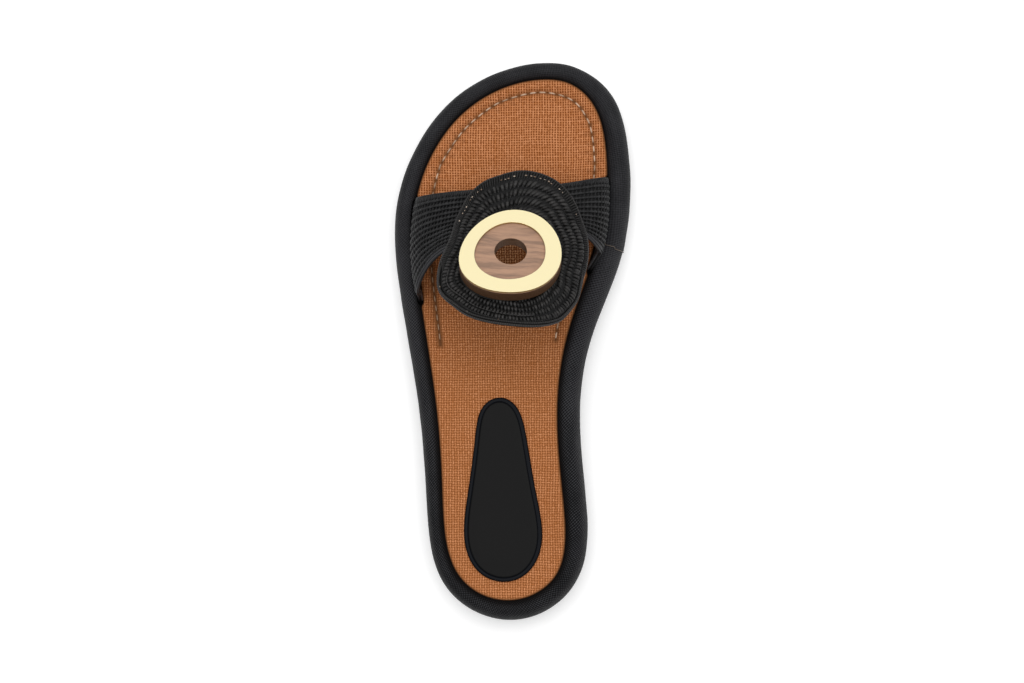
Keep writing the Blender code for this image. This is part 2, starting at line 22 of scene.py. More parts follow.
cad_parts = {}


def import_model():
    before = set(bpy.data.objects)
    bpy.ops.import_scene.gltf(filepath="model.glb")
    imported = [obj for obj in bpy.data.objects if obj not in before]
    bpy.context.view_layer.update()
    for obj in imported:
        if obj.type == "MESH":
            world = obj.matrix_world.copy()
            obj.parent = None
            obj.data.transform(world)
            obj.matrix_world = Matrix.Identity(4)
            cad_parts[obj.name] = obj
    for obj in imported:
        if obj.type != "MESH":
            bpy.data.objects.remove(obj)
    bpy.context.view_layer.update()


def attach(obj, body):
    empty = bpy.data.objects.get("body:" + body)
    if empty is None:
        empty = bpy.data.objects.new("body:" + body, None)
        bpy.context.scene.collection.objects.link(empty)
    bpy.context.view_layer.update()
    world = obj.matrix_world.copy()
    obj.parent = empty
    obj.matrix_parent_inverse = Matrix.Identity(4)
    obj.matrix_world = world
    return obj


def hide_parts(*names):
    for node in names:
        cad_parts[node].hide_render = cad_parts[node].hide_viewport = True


LOG = logging.getLogger("sandal")
# A millimetre in metres, and the gap between neighbouring pieces in millimetres.
MM = 0.001
GAP = 0.3

# Types.
Array = NDArray[np.float64]
Indices = NDArray[np.int64]
Amount = Array | float
Pair = tuple[Array, Array]
Span = tuple[float, float]
Table = tuple[tuple[float, ...], ...]
Random = np.random.Generator
Piece = bpy.types.Object
Material = bpy.types.Material
Socket = bpy.types.NodeSocket
Value = float | Socket
Triple = tuple[float, float, float]
Scaled = tuple[Socket, float]


class Side(Enum):
    """Side of the foot, as the sign of its x."""

    LATERAL = -1
    MEDIAL = 1


class Slot(Enum):
    """Material slots of the pieces that are modelled here."""

    CANVAS = "rim_canvas"
    WEAVE = "insole_weave"
    LEATHER = "pad_leather"
    STRAP = "strap_braid"
    PLAQUE = "plaque_braid"


# ---------- Curves and small functions ----------


def columns(table: Table) -> list[Array]:
    """A table's columns, each as an array."""
    return [np.array(column, dtype=float) for column in zip(*table)]


def smooth_step(t: Array) -> Array:
    """0 below 0, 1 above 1, and the S-curve 3t² - 2t³ between."""
    t = np.clip(t, 0.0, 1.0)
    return t * t * (3.0 - 2.0 * t)


def hump(t: Array) -> Array:
    """1 at 0, falling as a squared cosine to 0 at -1 and 1."""
    return np.cos(np.clip(t, -1.0, 1.0) * math.pi / 2.0) ** 2


def window(t: Array, start: float, end: float, soft: float) -> Array:
    """1 between start and end, with an S-curve of length soft outside each."""
    return smooth_step((t - start) / soft + 1.0) * smooth_step((end - t) / soft + 1.0)


def around(count: int, whole: float = 360.0) -> Array:
    """Even angles, or shares, round a whole turn."""
    return np.arange(count) * whole / count


def unit(vectors: Array) -> Array:
    """Vectors along the last axis, made one long."""
    return vectors / np.maximum(np.linalg.norm(vectors, axis=-1, keepdims=True), 1e-12)


def quarter(count: int) -> Array:
    """Even angles over a quarter turn, with both ends."""
    return np.linspace(0.0, math.pi / 2.0, count)


def evenly_along(count: int) -> Array:
    """Shares of a line at the middles of its equal parts."""
    return (np.arange(count) + 0.5) / count


def left_of(vectors: Array) -> Array:
    """Plan vectors turned a quarter to the left."""
    return np.stack([-vectors[..., 1], vectors[..., 0]], axis=-1)


def neighbours(points: Array) -> Array:
    """From each point's last neighbour to its next, in a closed line or closed rows."""
    return np.roll(points, -1, axis=0) - np.roll(points, 1, axis=0)


def wander(along: Array, seed: int) -> Array:
    """Uneven, repeatable wave from about -1 to 1: seven cosines of 9 to 45 turns, summed.

    Args:
        along: Share of a closed line.
        seed: Seed of the wave's turns and phases.

    Returns:
        The wave at each place.
    """
    random = np.random.default_rng(seed)
    turns = random.integers(9, 46, 7)
    phase = random.uniform(0.0, 2.0 * math.pi, 7)
    angle = 2.0 * math.pi * along[..., None] * turns + phase
    return np.cos(angle).sum(axis=-1) / 7.0 ** 0.5 / 1.6


@dataclass(frozen=True)
class Curve:
    """Cubic through values at knots: natural ends, or closed where it has a period."""

    knots: Array
    values: Array
    period: float = 0.0

    @cached_property
    def closed_up(self) -> Pair:
        """Knots and values, with the first repeated one period on where the curve is closed."""
        if not self.period:
            return self.knots, self.values
        return np.append(self.knots, self.knots[0] + self.period), np.append(self.values, self.values[0])

    @cached_property
    def bend(self) -> Array:
        """Second derivative at each knot, from the condition that the slopes meet."""
        x, y = self.closed_up
        last = len(x) - 1
        step = np.diff(x)
        slope = np.diff(y) / step
        matrix = np.zeros((last + 1, last + 1))
        right = np.zeros(last + 1)
        inner = np.arange(1, last)
        matrix[inner, inner - 1] = step[:-1]
        matrix[inner, inner] = 2.0 * (step[:-1] + step[1:])
        matrix[inner, inner + 1] = step[1:]
        right[inner] = 6.0 * np.diff(slope)
        matrix[0, 0] = 1.0
        if self.period:
            matrix[0, last] = -1.0
            matrix[last, 0:2] += 2.0 * step[0], step[0]
            matrix[last, last - 1:] += step[-1], 2.0 * step[-1]
            right[last] = 6.0 * (slope[0] - slope[-1])
        else:
            matrix[last, last] = 1.0
        return np.linalg.solve(matrix, right)

    def __call__(self, at: Amount) -> Array:
        """The curve's value: the cubic between the knots on either side.

        Args:
            at: Places.

        Returns:
            The value at each.
        """
        x, y = self.closed_up
        at = np.asarray(at, dtype=float)
        if self.period:
            at = (at - x[0]) % self.period + x[0]
        i = np.clip(np.searchsorted(x, at, side="right") - 1, 0, len(x) - 2)
        width = x[i + 1] - x[i]
        b = (at - x[i]) / width
        a = 1.0 - b
        curve = (a ** 3 - a) * self.bend[i] + (b ** 3 - b) * self.bend[i + 1]
        return a * y[i] + b * y[i + 1] + curve * width ** 2 / 6.0


def all_round(station: Array, lateral: Array, medial: Array) -> Curve:
    """Closed curve over 360 degrees: up the medial side, and back down the lateral side."""
    angles = np.concatenate([station, 360.0 - station[-2:0:-1]])
    return Curve(angles, np.concatenate([medial, lateral[-2:0:-1]]), 360.0)


# ---------- Meshes from grids ----------


@dataclass
class Shape:
    """Points in millimetres, the quads between them and the UV of each quad's corners.

    The caps are faces of other sizes, one array of point numbers for each size. Tones and shades are
    numbers from 0 to 1 for each point, which a finish may read.
    """

    points: Array
    quads: Indices
    corners: Array
    caps: list[Indices] = field(default_factory=list)
    tones: Array | None = None
    shades: Array | None = None

    def volume(self) -> float:
        """Signed volume over the quads: positive where the faces point out."""
        a, b, c, d = (self.points[self.quads[:, k]] for k in range(4))
        return float((np.cross(a, b) * c + np.cross(a, c) * d).sum() / 6.0)

    def outward(self) -> "Shape":
        """The same shape with its faces pointing out."""
        if self.volume() >= 0.0:
            return self
        caps = [cap[:, ::-1] for cap in self.caps]
        return replace(self, quads=self.quads[:, ::-1], corners=self.corners[:, ::-1], caps=caps)


def joined(shapes: Sequence[Shape]) -> Shape:
    """Several shapes as one.

    Args:
        shapes: The shapes, which keep their faces and tones.

    Returns:
        One shape of them all.
    """
    starts = np.cumsum([0] + [len(shape.points) for shape in shapes])
    tones = [np.zeros(len(s.points)) if s.tones is None else s.tones for s in shapes]
    return Shape(
        np.concatenate([s.points for s in shapes]),
        np.concatenate([s.quads + start for s, start in zip(shapes, starts)]),
        np.concatenate([s.corners for s in shapes]),
        [cap + start for s, start in zip(shapes, starts) for cap in s.caps],
        np.concatenate(tones),
    )


def toned(shape: Shape, tone: float) -> Shape:
    """A shape with one tone all over."""
    return replace(shape, tones=np.full(len(shape.points), tone))


def grid(points: Array, u: Array, v: Array, closed: bool = False, ring: bool = False) -> Shape:
    """Quads over a grid of points.

    Args:
        points: Rows and columns of points, shaped (rows, columns, 3).
        u: UV coordinate of each row, with one more where the rows are closed.
        v: UV coordinate of each column, with one more where the columns are a ring.
        closed: The last row joins the first.
        ring: The last column joins the first.

    Returns:
        The grid as a shape.
    """
    rows, count = points.shape[:2]
    i = np.arange(rows if closed else rows - 1)[:, None]
    j = np.arange(count if ring else count - 1)[None, :]
    next_i, next_j = (i + 1) % rows, (j + 1) % count
    numbers = (i * count + j, next_i * count + j, next_i * count + next_j, i * count + next_j)
    quads = np.stack(np.broadcast_arrays(*numbers), axis=-1).reshape(-1, 4)
    across = np.stack(np.broadcast_arrays(u[i], u[i + 1], u[i + 1], u[i]), axis=-1)
    up = np.stack(np.broadcast_arrays(v[j], v[j], v[j + 1], v[j + 1]), axis=-1)
    corners = np.stack(np.broadcast_arrays(across, up), axis=-1).reshape(-1, 4, 2)
    return Shape(points.reshape(-1, 3), quads, corners)


def normals_of(points: Array, closed: bool = False) -> Array:
    """Unit normals of a grid: the cross product of its differences along rows and columns."""
    along = neighbours(points) if closed else np.gradient(points, axis=0)
    return unit(np.cross(along, np.gradient(points, axis=1)))


def running_length(points: Array) -> Array:
    """Length from a line's first point to each of its points."""
    return np.concatenate([[0.0], np.cumsum(np.linalg.norm(np.diff(points, axis=0), axis=1))])


def wall(outer: Array, inner: Array, closed: bool = False) -> Shape:
    """Closed wall between two grids: round each row, from the outer grid back along the inner one.

    Args:
        outer: Outer grid, shaped (rows, columns, 3).
        inner: Inner grid of the same shape.
        closed: The last row joins the first, and otherwise the two end rows are capped.

    Returns:
        The wall, with its faces pointing out.
    """
    loop = np.concatenate([outer, inner[:, ::-1]], axis=1)
    rows, count = loop.shape[:2]
    u = np.append(running_length(outer[:, outer.shape[1] // 2]), 0.0)
    u[-1] = 2.0 * u[-2] - u[-3]
    v = np.append(running_length(loop[rows // 2]), 0.0)
    v[-1] = 2.0 * v[-2] - v[-3]
    shape = grid(loop, u if closed else u[:-1], v, closed=closed, ring=True)
    if not closed:
        half = count // 2
        j = np.arange(half - 1)
        start = np.stack([j, j + 1, count - 2 - j, count - 1 - j], axis=-1)
        end = start[:, ::-1] + (rows - 1) * count
        ends = np.concatenate([start, end])
        shape = replace(shape, quads=np.concatenate([shape.quads, ends]),
                        corners=np.concatenate([shape.corners, np.zeros((len(ends), 4, 2))]))
    return shape.outward()


def strands(centres: Array, normals: Array, half_width: Amount, half_height: Amount,
            sides: int = 6, tones: Array | None = None) -> Shape:
    """Many short tubes at once, each an ellipse carried along its own line, with flat ends.

    The ellipse's points are centre + across · half_width · cos(a) + up · half_height · sin(a), where
    up is the surface's normal made square to the line, and across is square to both.

    Args:
        centres: Line of each strand, shaped (strands, steps, 3).
        normals: Surface normal at each centre.
        half_width: Half the strand's width at each centre, along the surface.
        half_height: Half its height, along the normal.
        sides: Points round each ellipse.
        tones: One number from 0 to 1 for each strand.

    Returns:
        All the strands as one shape, its UV running 0 to 1 along and round each strand.
    """
    count, steps = centres.shape[:2]
    tangent = unit(np.gradient(centres, axis=1))
    across = unit(np.cross(normals, tangent))
    up = np.cross(tangent, across)
    turn = around(sides, 2.0 * math.pi)
    width = np.broadcast_to(half_width, (count, steps))[..., None, None]
    height = np.broadcast_to(half_height, (count, steps))[..., None, None]
    ring = (across[:, :, None] * width * np.cos(turn)[:, None]
            + up[:, :, None] * height * np.sin(turn)[:, None])
    points = centres[:, :, None] + ring
    one = grid(points[0], np.linspace(0.0, 1.0, steps), np.linspace(0.0, 1.0, sides + 1), ring=True)
    start = (np.arange(count) * steps * sides)[:, None, None]
    first = np.arange(sides)[::-1]
    last = np.arange(sides) + (steps - 1) * sides
    caps = (np.stack([first, last])[None] + start).reshape(-1, sides)
    tone = np.zeros(count) if tones is None else tones
    shape = Shape(
        points.reshape(-1, 3),
        (one.quads[None] + start).reshape(-1, 4),
        np.tile(one.corners, (count, 1, 1)),
        [caps],
        np.repeat(tone, steps * sides),
    )
    return shape.outward()


def cord(line: Array, normals: Array, radius: Amount, sides: int = 10, closed: bool = False) -> Shape:
    """One long round tube.

    Args:
        line: Its middle line.
        normals: Surface normal at each of the line's points.
        radius: Its radius at each.
        sides: Points round it.
        closed: It joins up, and otherwise it has flat ends.

    Returns:
        The tube.
    """
    if not closed:
        return strands(line[None], normals[None], radius, radius, sides)
    tangent = unit(neighbours(line))
    across = unit(np.cross(normals, tangent))[:, None]
    up = np.cross(tangent, across[:, 0])[:, None]
    turn = around(sides, 2.0 * math.pi)[:, None]
    size = np.broadcast_to(radius, len(line))[:, None, None]
    points = line[:, None] + size * (across * np.cos(turn) + up * np.sin(turn))
    along = running_length(np.concatenate([line, line[:1]]))
    return grid(points, along, np.linspace(0.0, 1.0, sides + 1), closed=True, ring=True).outward()


def new_object(name: str, data: bpy.types.ID) -> Piece:
    """New object in the scene, at the origin.

    Args:
        name: Its name.
        data: Its mesh, light or camera.

    Returns:
        The object.
    """
    made = bpy.data.objects.new(name, data)
    bpy.context.scene.collection.objects.link(made)
    return made


def make_object(name: str, shape: Shape, finish: Material, weld: bool = False) -> Piece:
    """Mesh object at the origin from a shape.

    Args:
        name: The piece's name.
        shape: Its points, faces, UV and tones.
        finish: Its material.
        weld: Merge doubled points, to close seams and poles.

    Returns:
        The object, smooth shaded.
    """
    mesh = bpy.data.meshes.new(name)
    faces = sum((cap.tolist() for cap in shape.caps), shape.quads.tolist())
    mesh.from_pydata((shape.points * MM).tolist(), [], faces)
    layer = mesh.uv_layers.new(name="lay")
    others = sum(cap.size for cap in shape.caps)
    places = np.concatenate([shape.corners.reshape(-1, 2), np.zeros((others, 2))])
    layer.uv.foreach_set("vector", places.astype(np.float32).ravel())
    for label, values in (("tone", shape.tones), ("shade", shape.shades)):
        if values is not None:
            mesh.attributes.new(label, "FLOAT", "POINT").data.foreach_set("value", values.astype(np.float32))
    if weld:
        bm = bmesh.new()
        bm.from_mesh(mesh)
        bmesh.ops.remove_doubles(bm, verts=bm.verts, dist=0.004 * MM)
        bm.to_mesh(mesh)
        bm.free()
    mesh.shade_smooth()
    mesh.materials.append(finish)
    return new_object(name, mesh)


def place(piece: Piece, slot: Slot, stands_for: Sequence[str] = (), fill: float | None = None) -> None:
    """Fix a piece to the sandal's body and report it.

    Args:
        piece: The finished object.
        slot: The material slot that it is reported under.
        stands_for: CAD nodes that it is shown instead of.
        fill: How tightly it is padded, where it is a padded piece; not used.
    """
    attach(piece, "root")
    if stands_for:
        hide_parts(*stands_for)
    triangles = sum(len(face.vertices) - 2 for face in piece.data.polygons)
    LOG.info("%s: %d triangles, slot %s", piece.name, triangles, slot.value)


def place_all(pieces: Sequence[Piece], slot: Slot, node: str) -> None:
    """Fix several pieces that stand for one CAD node together, the first of them in its place."""
    for number, piece in enumerate(pieces):
        place(piece, slot, () if number else (node,))


# ---------- The sandal's forms ----------


@dataclass(frozen=True)
class Rail:
    """A closed outline: plan points, unit normals to the inside, and the rim's width at each.

    The running length has one value more, where the outline closes.
    """

    points: Array
    inward: Array
    width: Array
    along: Array

    def moved_in(self, share: Amount = 0.0, inset: Amount = 0.0) -> Array:
        """Plan points moved in square to the outline by share · rim width + inset, for each column."""
        distance = self.width[:, None] * share + inset
        return self.points[:, None] + self.inward[:, None] * distance[..., None]


def rail_of(points: Array, width: Array) -> Rail:
    """Rail from closed plan points: its normals are the neighbours' difference, turned to the left."""
    inward = left_of(unit(neighbours(points)))
    return Rail(points, inward, width, running_length(np.concatenate([points, points[:1]])))


def towards_middle(loop: Array, shares: Array) -> Array:
    """Columns between a closed loop (share 1) and the seam half-way to its other side (share 0)."""
    middle = (loop + loop[(-np.arange(len(loop))) % len(loop)]) / 2.0
    return middle[:, None] + (loop - middle)[:, None] * np.asarray(shares)[:, None]


def body_of(rail: Rail, *parts: Array) -> Shape:
    """Closed body round a rail, of grids side by side from mid-base up and over to mid-top."""
    points = np.concatenate(parts, axis=1)
    return grid(points, rail.along, running_length(points[0]), closed=True).outward()


def marked(rail: Rail, shape: Shape, first: int, values: Array) -> Array:
    """A number for each point of a body: values in the columns from the first one on, 0 in the others."""
    after = len(shape.points) // len(rail.points) - first - values.shape[-1]
    return np.pad(values * np.ones((len(rail.points), 1)), ((0, 0), (first, after))).ravel()


@dataclass(frozen=True)
class SoleForm:
    """Outline, rim width, bed and underside of the sole, each a function of place.

    A station is an angle: 0 at the heel tip and 180 at the toe tip, at y = -half_length · cos(station).
    """

    half_length: float = 127.5
    # Columns: station, lateral x, medial x, lateral rim, medial rim.
    sections: Table = (
        (0, -0.9, -0.9, 9.5, 9.5), (15, -18.1, 15.7, 9.0, 9.6), (30, -31.7, 28.9, 8.6, 9.5),
        (45, -37.9, 34.3, 8.1, 10.1), (60, -39.9, 32.8, 8.4, 10.4), (75, -42.7, 31.0, 8.8, 10.4),
        (90, -48.0, 36.0, 9.2, 11.0), (105, -53.4, 48.4, 9.8, 12.2), (120, -53.5, 54.1, 9.4, 11.4),
        (135, -44.1, 52.9, 8.7, 10.3), (150, -28.3, 47.1, 8.5, 10.0), (165, -6.8, 33.7, 8.1, 8.6),
        (180, 15.8, 15.8, 8.2, 8.2),
    )
    # Columns: y, height of the insole's top.
    bed: Table = (
        (-128, 21.6), (-85, 20.3), (-30, 19.6), (25, 16.9), (60, 15.3), (90, 15.8), (128, 19.6),
    )
    dish: float = 1.1
    dish_span: float = 38.0
    toe_spring: float = 5.0
    toe_spring_start: float = 68.0
    heel_spring: float = 1.2
    heel_spring_start: float = -112.0
    arch_lift: float = 1.6
    arch_middle: float = -7.0
    arch_reach: float = 35.0
    outsole_thickness: float = 4.0

    @cached_property
    def outline_x(self) -> Curve:
        """x of the outline by station, all round."""
        station, lateral, medial = columns(self.sections)[:3]
        return all_round(station, lateral, medial)

    @cached_property
    def rim_width(self) -> Curve:
        """Width of the rim by station, all round."""
        station, _, _, lateral, medial = columns(self.sections)
        return all_round(station, lateral, medial)

    @cached_property
    def middle_x(self) -> Curve:
        """x half-way between the two sides, by y."""
        station, lateral, medial = columns(self.sections)[:3]
        return Curve(-self.half_length * np.cos(np.radians(station)), (lateral + medial) / 2.0)

    @cached_property
    def bed_line(self) -> Curve:
        """Height of the insole along its middle, by y."""
        return Curve(*columns(self.bed))

    @cached_property
    def shift_x(self) -> float:
        """What brings the middle of the outline's width to x = 0."""
        x = self.outline_x(np.arange(0.0, 360.0, 0.5))
        return float(-(x.max() + x.min()) / 2.0)

    def outline(self, station: Array) -> Array:
        """Plan points of the outline at any stations."""
        y = -self.half_length * np.cos(np.radians(station))
        return np.stack([self.outline_x(station) + self.shift_x, y], axis=-1)

    def rail(self, count: int) -> Rail:
        """The outline as a rail of that many points."""
        station = around(count)
        return rail_of(self.outline(station), self.rim_width(station))

    def within(self, station: Array, inset: Array) -> Array:
        """Plan points moved in square from the rim's inner edge, by an inset at each station."""
        inward = left_of(unit(self.outline(station + 0.1) - self.outline(station - 0.1)))
        return self.outline(station) + inward * (self.rim_width(station) + inset)[:, None]

    @cached_property
    def recess(self) -> Array:
        """Plan points of the rim's inner edge, finely."""
        return self.rail(1440).moved_in(np.ones(1))[:, 0]

    def inner_edge(self, y: Array, side: Side) -> Array:
        """The rim's inner edge.

        Args:
            y: Places along the foot.
            side: Which side.

        Returns:
            Its x at each.
        """
        half = len(self.recess) // 2
        run = self.recess[:half + 1] if side is Side.MEDIAL else self.recess[half:][::-1]
        order = np.argsort(run[:, 1])
        return np.interp(y, run[order, 1], run[order, 0])

    def underside(self, y: Array) -> Array:
        """The sole's lower face: flat at heel and ball, lifted at arch, toe and heel tip.

        Args:
            y: Places along the foot.

        Returns:
            Its height at each.
        """
        arch = hump((y - self.arch_middle) / self.arch_reach)
        toe = np.clip((y - self.toe_spring_start) / (self.half_length - self.toe_spring_start), 0.0, None)
        heel = np.clip((self.heel_spring_start - y) / (self.half_length + self.heel_spring_start), 0.0, None)
        return self.arch_lift * arch + self.toe_spring * toe ** 2 + self.heel_spring * heel ** 2

    def bed_height(self, x: Array, y: Array) -> Array:
        """Height of the insole's top face, a shallow dish across the foot."""
        away = (x - self.middle_x(y) - self.shift_x) / self.dish_span
        return self.bed_line(y) + self.dish * away ** 2


@dataclass(frozen=True)
class UpperForm:
    """The last's crown under the strap, the strap's edges on it, and the flat seat of the disc."""

    sole: SoleForm
    # Columns: y, ridge height above the bed, lateral x, medial x.
    last: Table = (
        (-8, 64.0, -38.0, 32.0), (10, 52.8, -38.6, 34.0), (29, 41.6, -42.0, 37.0),
        (45, 33.1, -43.2, 41.4), (60, 27.3, -41.8, 42.9), (76, 23.6, -39.5, 43.0),
    )
    ridge_x: float = 4.0
    crown_power: float = 2.3
    widest_rise: float = 12.0
    # Columns: place across, front y, rear y.
    edges: Table = (
        (-1.0, 64.2, 20.0), (-0.86, 64.7, 29.5), (-0.6, 65.5, 38.2), (0.0, 66.8, 48.5),
        (0.6, 69.0, 47.0), (0.88, 71.5, 43.0), (1.0, 72.8, 39.0),
    )
    feet: tuple[tuple[Side, float, float], ...] = ((Side.LATERAL, 64.0, 18.0), (Side.MEDIAL, 72.9, 32.0))
    inset: float = 0.5
    tuck_depth: float = 3.0
    tuck_steps: int = 8
    flank_steps: int = 40
    crown_steps: int = 181
    disc_x: float = 2.6
    disc_y: float = 29.9
    disc_slope: float = 31.5
    disc_lean: float = 3.5
    # Columns: clock angle, outer radius.
    ring: Table = (
        (0, 22.2), (30, 22.1), (60, 22.8), (90, 22.6), (120, 21.2), (150, 20.7), (180, 21.9),
        (210, 23.7), (240, 22.9), (270, 21.9), (300, 22.5), (330, 22.8),
    )
    flat_reach: float = 1.05
    flat_blend: float = 0.55

    @cached_property
    def ridge(self) -> Curve:
        """Height of the last's ridge above the bed, by y."""
        y, height = columns(self.last)[:2]
        return Curve(y, height)

    def reach(self, y: Array, side: Side) -> Array:
        """x of the last's widest place at y, on one side."""
        y_rows, _, lateral, medial = columns(self.last)
        return Curve(y_rows, medial if side is Side.MEDIAL else lateral)(y)

    def edge(self, place_across: Array, rear: bool) -> Array:
        """y of the strap's front or rear edge, by place across the crown."""
        place_rows, front_rows, rear_rows = columns(self.edges)
        return Curve(place_rows, rear_rows if rear else front_rows)(place_across)

    @cached_property
    def seat_normal(self) -> Array:
        """Normal of the disc's seat: +Z leant to the medial side, then tipped to the toe."""
        lean, slope = math.radians(self.disc_lean), math.radians(self.disc_slope)
        tipped = math.cos(lean)
        return np.array([math.sin(lean), tipped * math.sin(slope), tipped * math.cos(slope)])

    @cached_property
    def foreshortened(self) -> float:
        """How much shorter the tilted disc is in plan along y."""
        return math.cos(math.radians(self.disc_slope))

    def crown_height(self, x: Array, y: Array) -> Array:
        """The last's top: a superellipse on either side of the ridge.

        Args:
            x: Places across.
            y: Places along.

        Returns:
            Its height at each.
        """
        lateral = self.ridge_x - self.reach(y, Side.LATERAL)
        medial = self.reach(y, Side.MEDIAL) - self.ridge_x
        share = np.clip(np.abs(x - self.ridge_x) / np.where(x < self.ridge_x, lateral, medial), 0.0, 1.0)
        rise = self.ridge(y) - self.widest_rise
        crown = (1.0 - share ** self.crown_power) ** (1.0 / self.crown_power)
        return self.sole.bed_line(y) + self.widest_rise + rise * crown

    @cached_property
    def seat(self) -> Array:
        """The crown's point at the disc's middle."""
        middle = np.array([self.disc_x, self.disc_y])
        return np.append(middle, self.crown_height(*middle))

    def height(self, x: Array, y: Array) -> Array:
        """The upper's inner form: the crown, flattened to the disc's plane under the disc.

        Args:
            x: Places across.
            y: Places along.

        Returns:
            Its height at each.
        """
        crown = self.crown_height(x, y)
        nx, ny, nz = self.seat_normal
        plane = self.seat[2] - (nx * (x - self.disc_x) + ny * (y - self.disc_y)) / nz
        radius = columns(self.ring)[1].max()
        away = np.hypot((x - self.disc_x) / radius, (y - self.disc_y) / (radius * self.foreshortened))
        return crown + (plane - crown) * (1.0 - smooth_step((away - self.flat_reach) / self.flat_blend))

    def above(self, plan: Array, distance: Amount) -> Array:
        """Points over the form, its normal taken from central differences.

        Args:
            plan: Plan points.
            distance: How far along the normal each is moved out.

        Returns:
            The points.
        """
        x, y = plan[..., 0], plan[..., 1]
        step = 0.05
        slope_x = (self.height(x + step, y) - self.height(x - step, y)) / (2.0 * step)
        slope_y = (self.height(x, y + step) - self.height(x, y - step)) / (2.0 * step)
        normal = unit(np.stack([-slope_x, -slope_y, np.ones_like(x)], axis=-1))
        out = np.broadcast_to(distance, x.shape)[..., None]
        return np.stack([x, y, self.height(x, y)], axis=-1) + normal * out

    def strap_end(self, side: Side, cuts: Array) -> Array:
        """One strap end's inner face, from its foot under the insole's edge to its widest place.

        The tuck goes straight down from the bed. On the flank, with p from 0 to 1, the height rises
        evenly to the widest place and x swells from the rim to the last by sin²(p · 90°).

        Args:
            side: Which end.
            cuts: Shares from the front edge (0) to the rear edge (1).

        Returns:
            Points shaped (columns, cuts, 3).
        """
        foot_front, foot_rear = next(foot[1:] for foot in self.feet if foot[0] is side)
        sign = side.value
        tuck = np.linspace(0.0, 1.0, self.tuck_steps, endpoint=False)
        flank = np.linspace(0.0, 1.0, self.flank_steps)
        swell = np.concatenate([np.zeros(self.tuck_steps), np.sin(flank * math.pi / 2.0) ** 2])[:, None]
        front = foot_front + (float(self.edge(sign, rear=False)) - foot_front) * swell
        rear = foot_rear + (float(self.edge(sign, rear=True)) - foot_rear) * swell
        y = front + (rear - front) * cuts
        groove = self.sole.inner_edge(y, side) - sign * self.inset
        x = groove + (self.reach(y, side) - groove) * swell
        sink = np.concatenate([tuck, np.ones(self.flank_steps)])[:, None]
        climb = np.concatenate([np.zeros(self.tuck_steps), flank])[:, None]
        bed = self.sole.bed_height(groove, y) * (1.0 - sink) + self.sole.bed_line(y) * sink
        z = bed - self.tuck_depth * (1.0 - sink) + self.widest_rise * climb
        return np.stack([x, y, z], axis=-1)

    def marks(self, rail: Rail, margin: Span, soft: float) -> Array:
        """Where the strap's ends go down beside the insole.

        Args:
            rail: The sole's outline.
            margin: How much further than an end a mark reaches, at its rear and at its front.
            soft: Length of the S-curve beyond that.

        Returns:
            1 at those stations and 0 at the others, in one column.
        """
        mark = np.zeros(len(rail.points))
        y = rail.moved_in(np.ones(1))[:, 0, 1]
        for side, front, rear in self.feet:
            on_side = np.sign(rail.inward[:, 0]) == -side.value
            mark += on_side * window(y, rear - margin[0], front + margin[1], soft)
        return mark[:, None]

    def strap_face(self, cuts: Array) -> Array:
        """The strap's inner face from lateral foot to medial foot.

        Args:
            cuts: Shares from the front edge (0) to the rear edge (1).

        Returns:
            Points shaped (columns, cuts, 3).
        """
        lateral, medial = self.strap_end(Side.LATERAL, cuts), self.strap_end(Side.MEDIAL, cuts)
        cosine = np.cos(np.radians(np.linspace(0.0, 180.0, self.crown_steps)[1:-1]))
        across = (-np.sign(cosine) * np.abs(cosine) ** (2.0 / self.crown_power))[:, None]
        front, rear = self.edge(across, rear=False), self.edge(across, rear=True)
        y = front + (rear - front) * cuts
        lateral_reach = self.ridge_x - self.reach(y, Side.LATERAL)
        medial_reach = self.reach(y, Side.MEDIAL) - self.ridge_x
        x = self.ridge_x + across * np.where(across > 0.0, medial_reach, lateral_reach)
        crown = np.stack([x, y, self.height(x, y)], axis=-1)
        return np.concatenate([lateral, crown, medial[::-1]])


@dataclass(frozen=True)
class Patch:
    """A surface sampled finely, in rows that may close, and read between its samples."""

    points: Array
    closed: bool = False

    @cached_property
    def normals(self) -> Array:
        """Unit normals at the samples."""
        return normals_of(self.points, self.closed)

    @cached_property
    def length(self) -> float:
        """Length along the middle column."""
        line = self.points[:, self.points.shape[1] // 2]
        return float(running_length(np.concatenate([line, line[:1]]) if self.closed else line)[-1])

    def breadth(self, u: Array) -> Array:
        """Length across the patch at shares u along it."""
        across = np.linalg.norm(np.diff(self.points, axis=1), axis=2).sum(axis=1)
        return np.interp(u, np.linspace(0.0, 1.0, len(across)), across)

    def read(self, samples: Array, u: Array, v: Array) -> Array:
        """Samples read between their places, by bilinear weights.

        Args:
            samples: A value at each of the grid's points.
            u: Shares along.
            v: Shares across.

        Returns:
            The value at each pair of shares.
        """
        rows, count = samples.shape[:2]
        a = np.asarray(u) * (rows if self.closed else rows - 1)
        b = np.clip(np.asarray(v), 0.0, 1.0) * (count - 1)
        if not self.closed:
            a = np.clip(a, 0.0, rows - 1.0)
        i = np.floor(a).astype(int)
        if not self.closed:
            i = np.minimum(i, rows - 2)
        j = np.minimum(np.floor(b).astype(int), count - 2)
        s, t = (a - i)[..., None], (b - j)[..., None]
        i, after = i % rows, (i + 1) % rows
        near = samples[i, j] * (1.0 - t) + samples[i, j + 1] * t
        far = samples[after, j] * (1.0 - t) + samples[after, j + 1] * t
        return near * (1.0 - s) + far * s

    def at(self, u: Array, v: Array, out: Amount = 0.0) -> Array:
        """Points at shares u and v, moved out along the normal."""
        move = np.broadcast_to(out, np.broadcast_shapes(np.shape(u), np.shape(v), np.shape(out)))
        return self.read(self.points, u, v) + self.normal(u, v) * move[..., None]

    def normal(self, u: Array, v: Array) -> Array:
        """Unit normals at shares u and v."""
        return unit(self.read(self.normals, u, v))


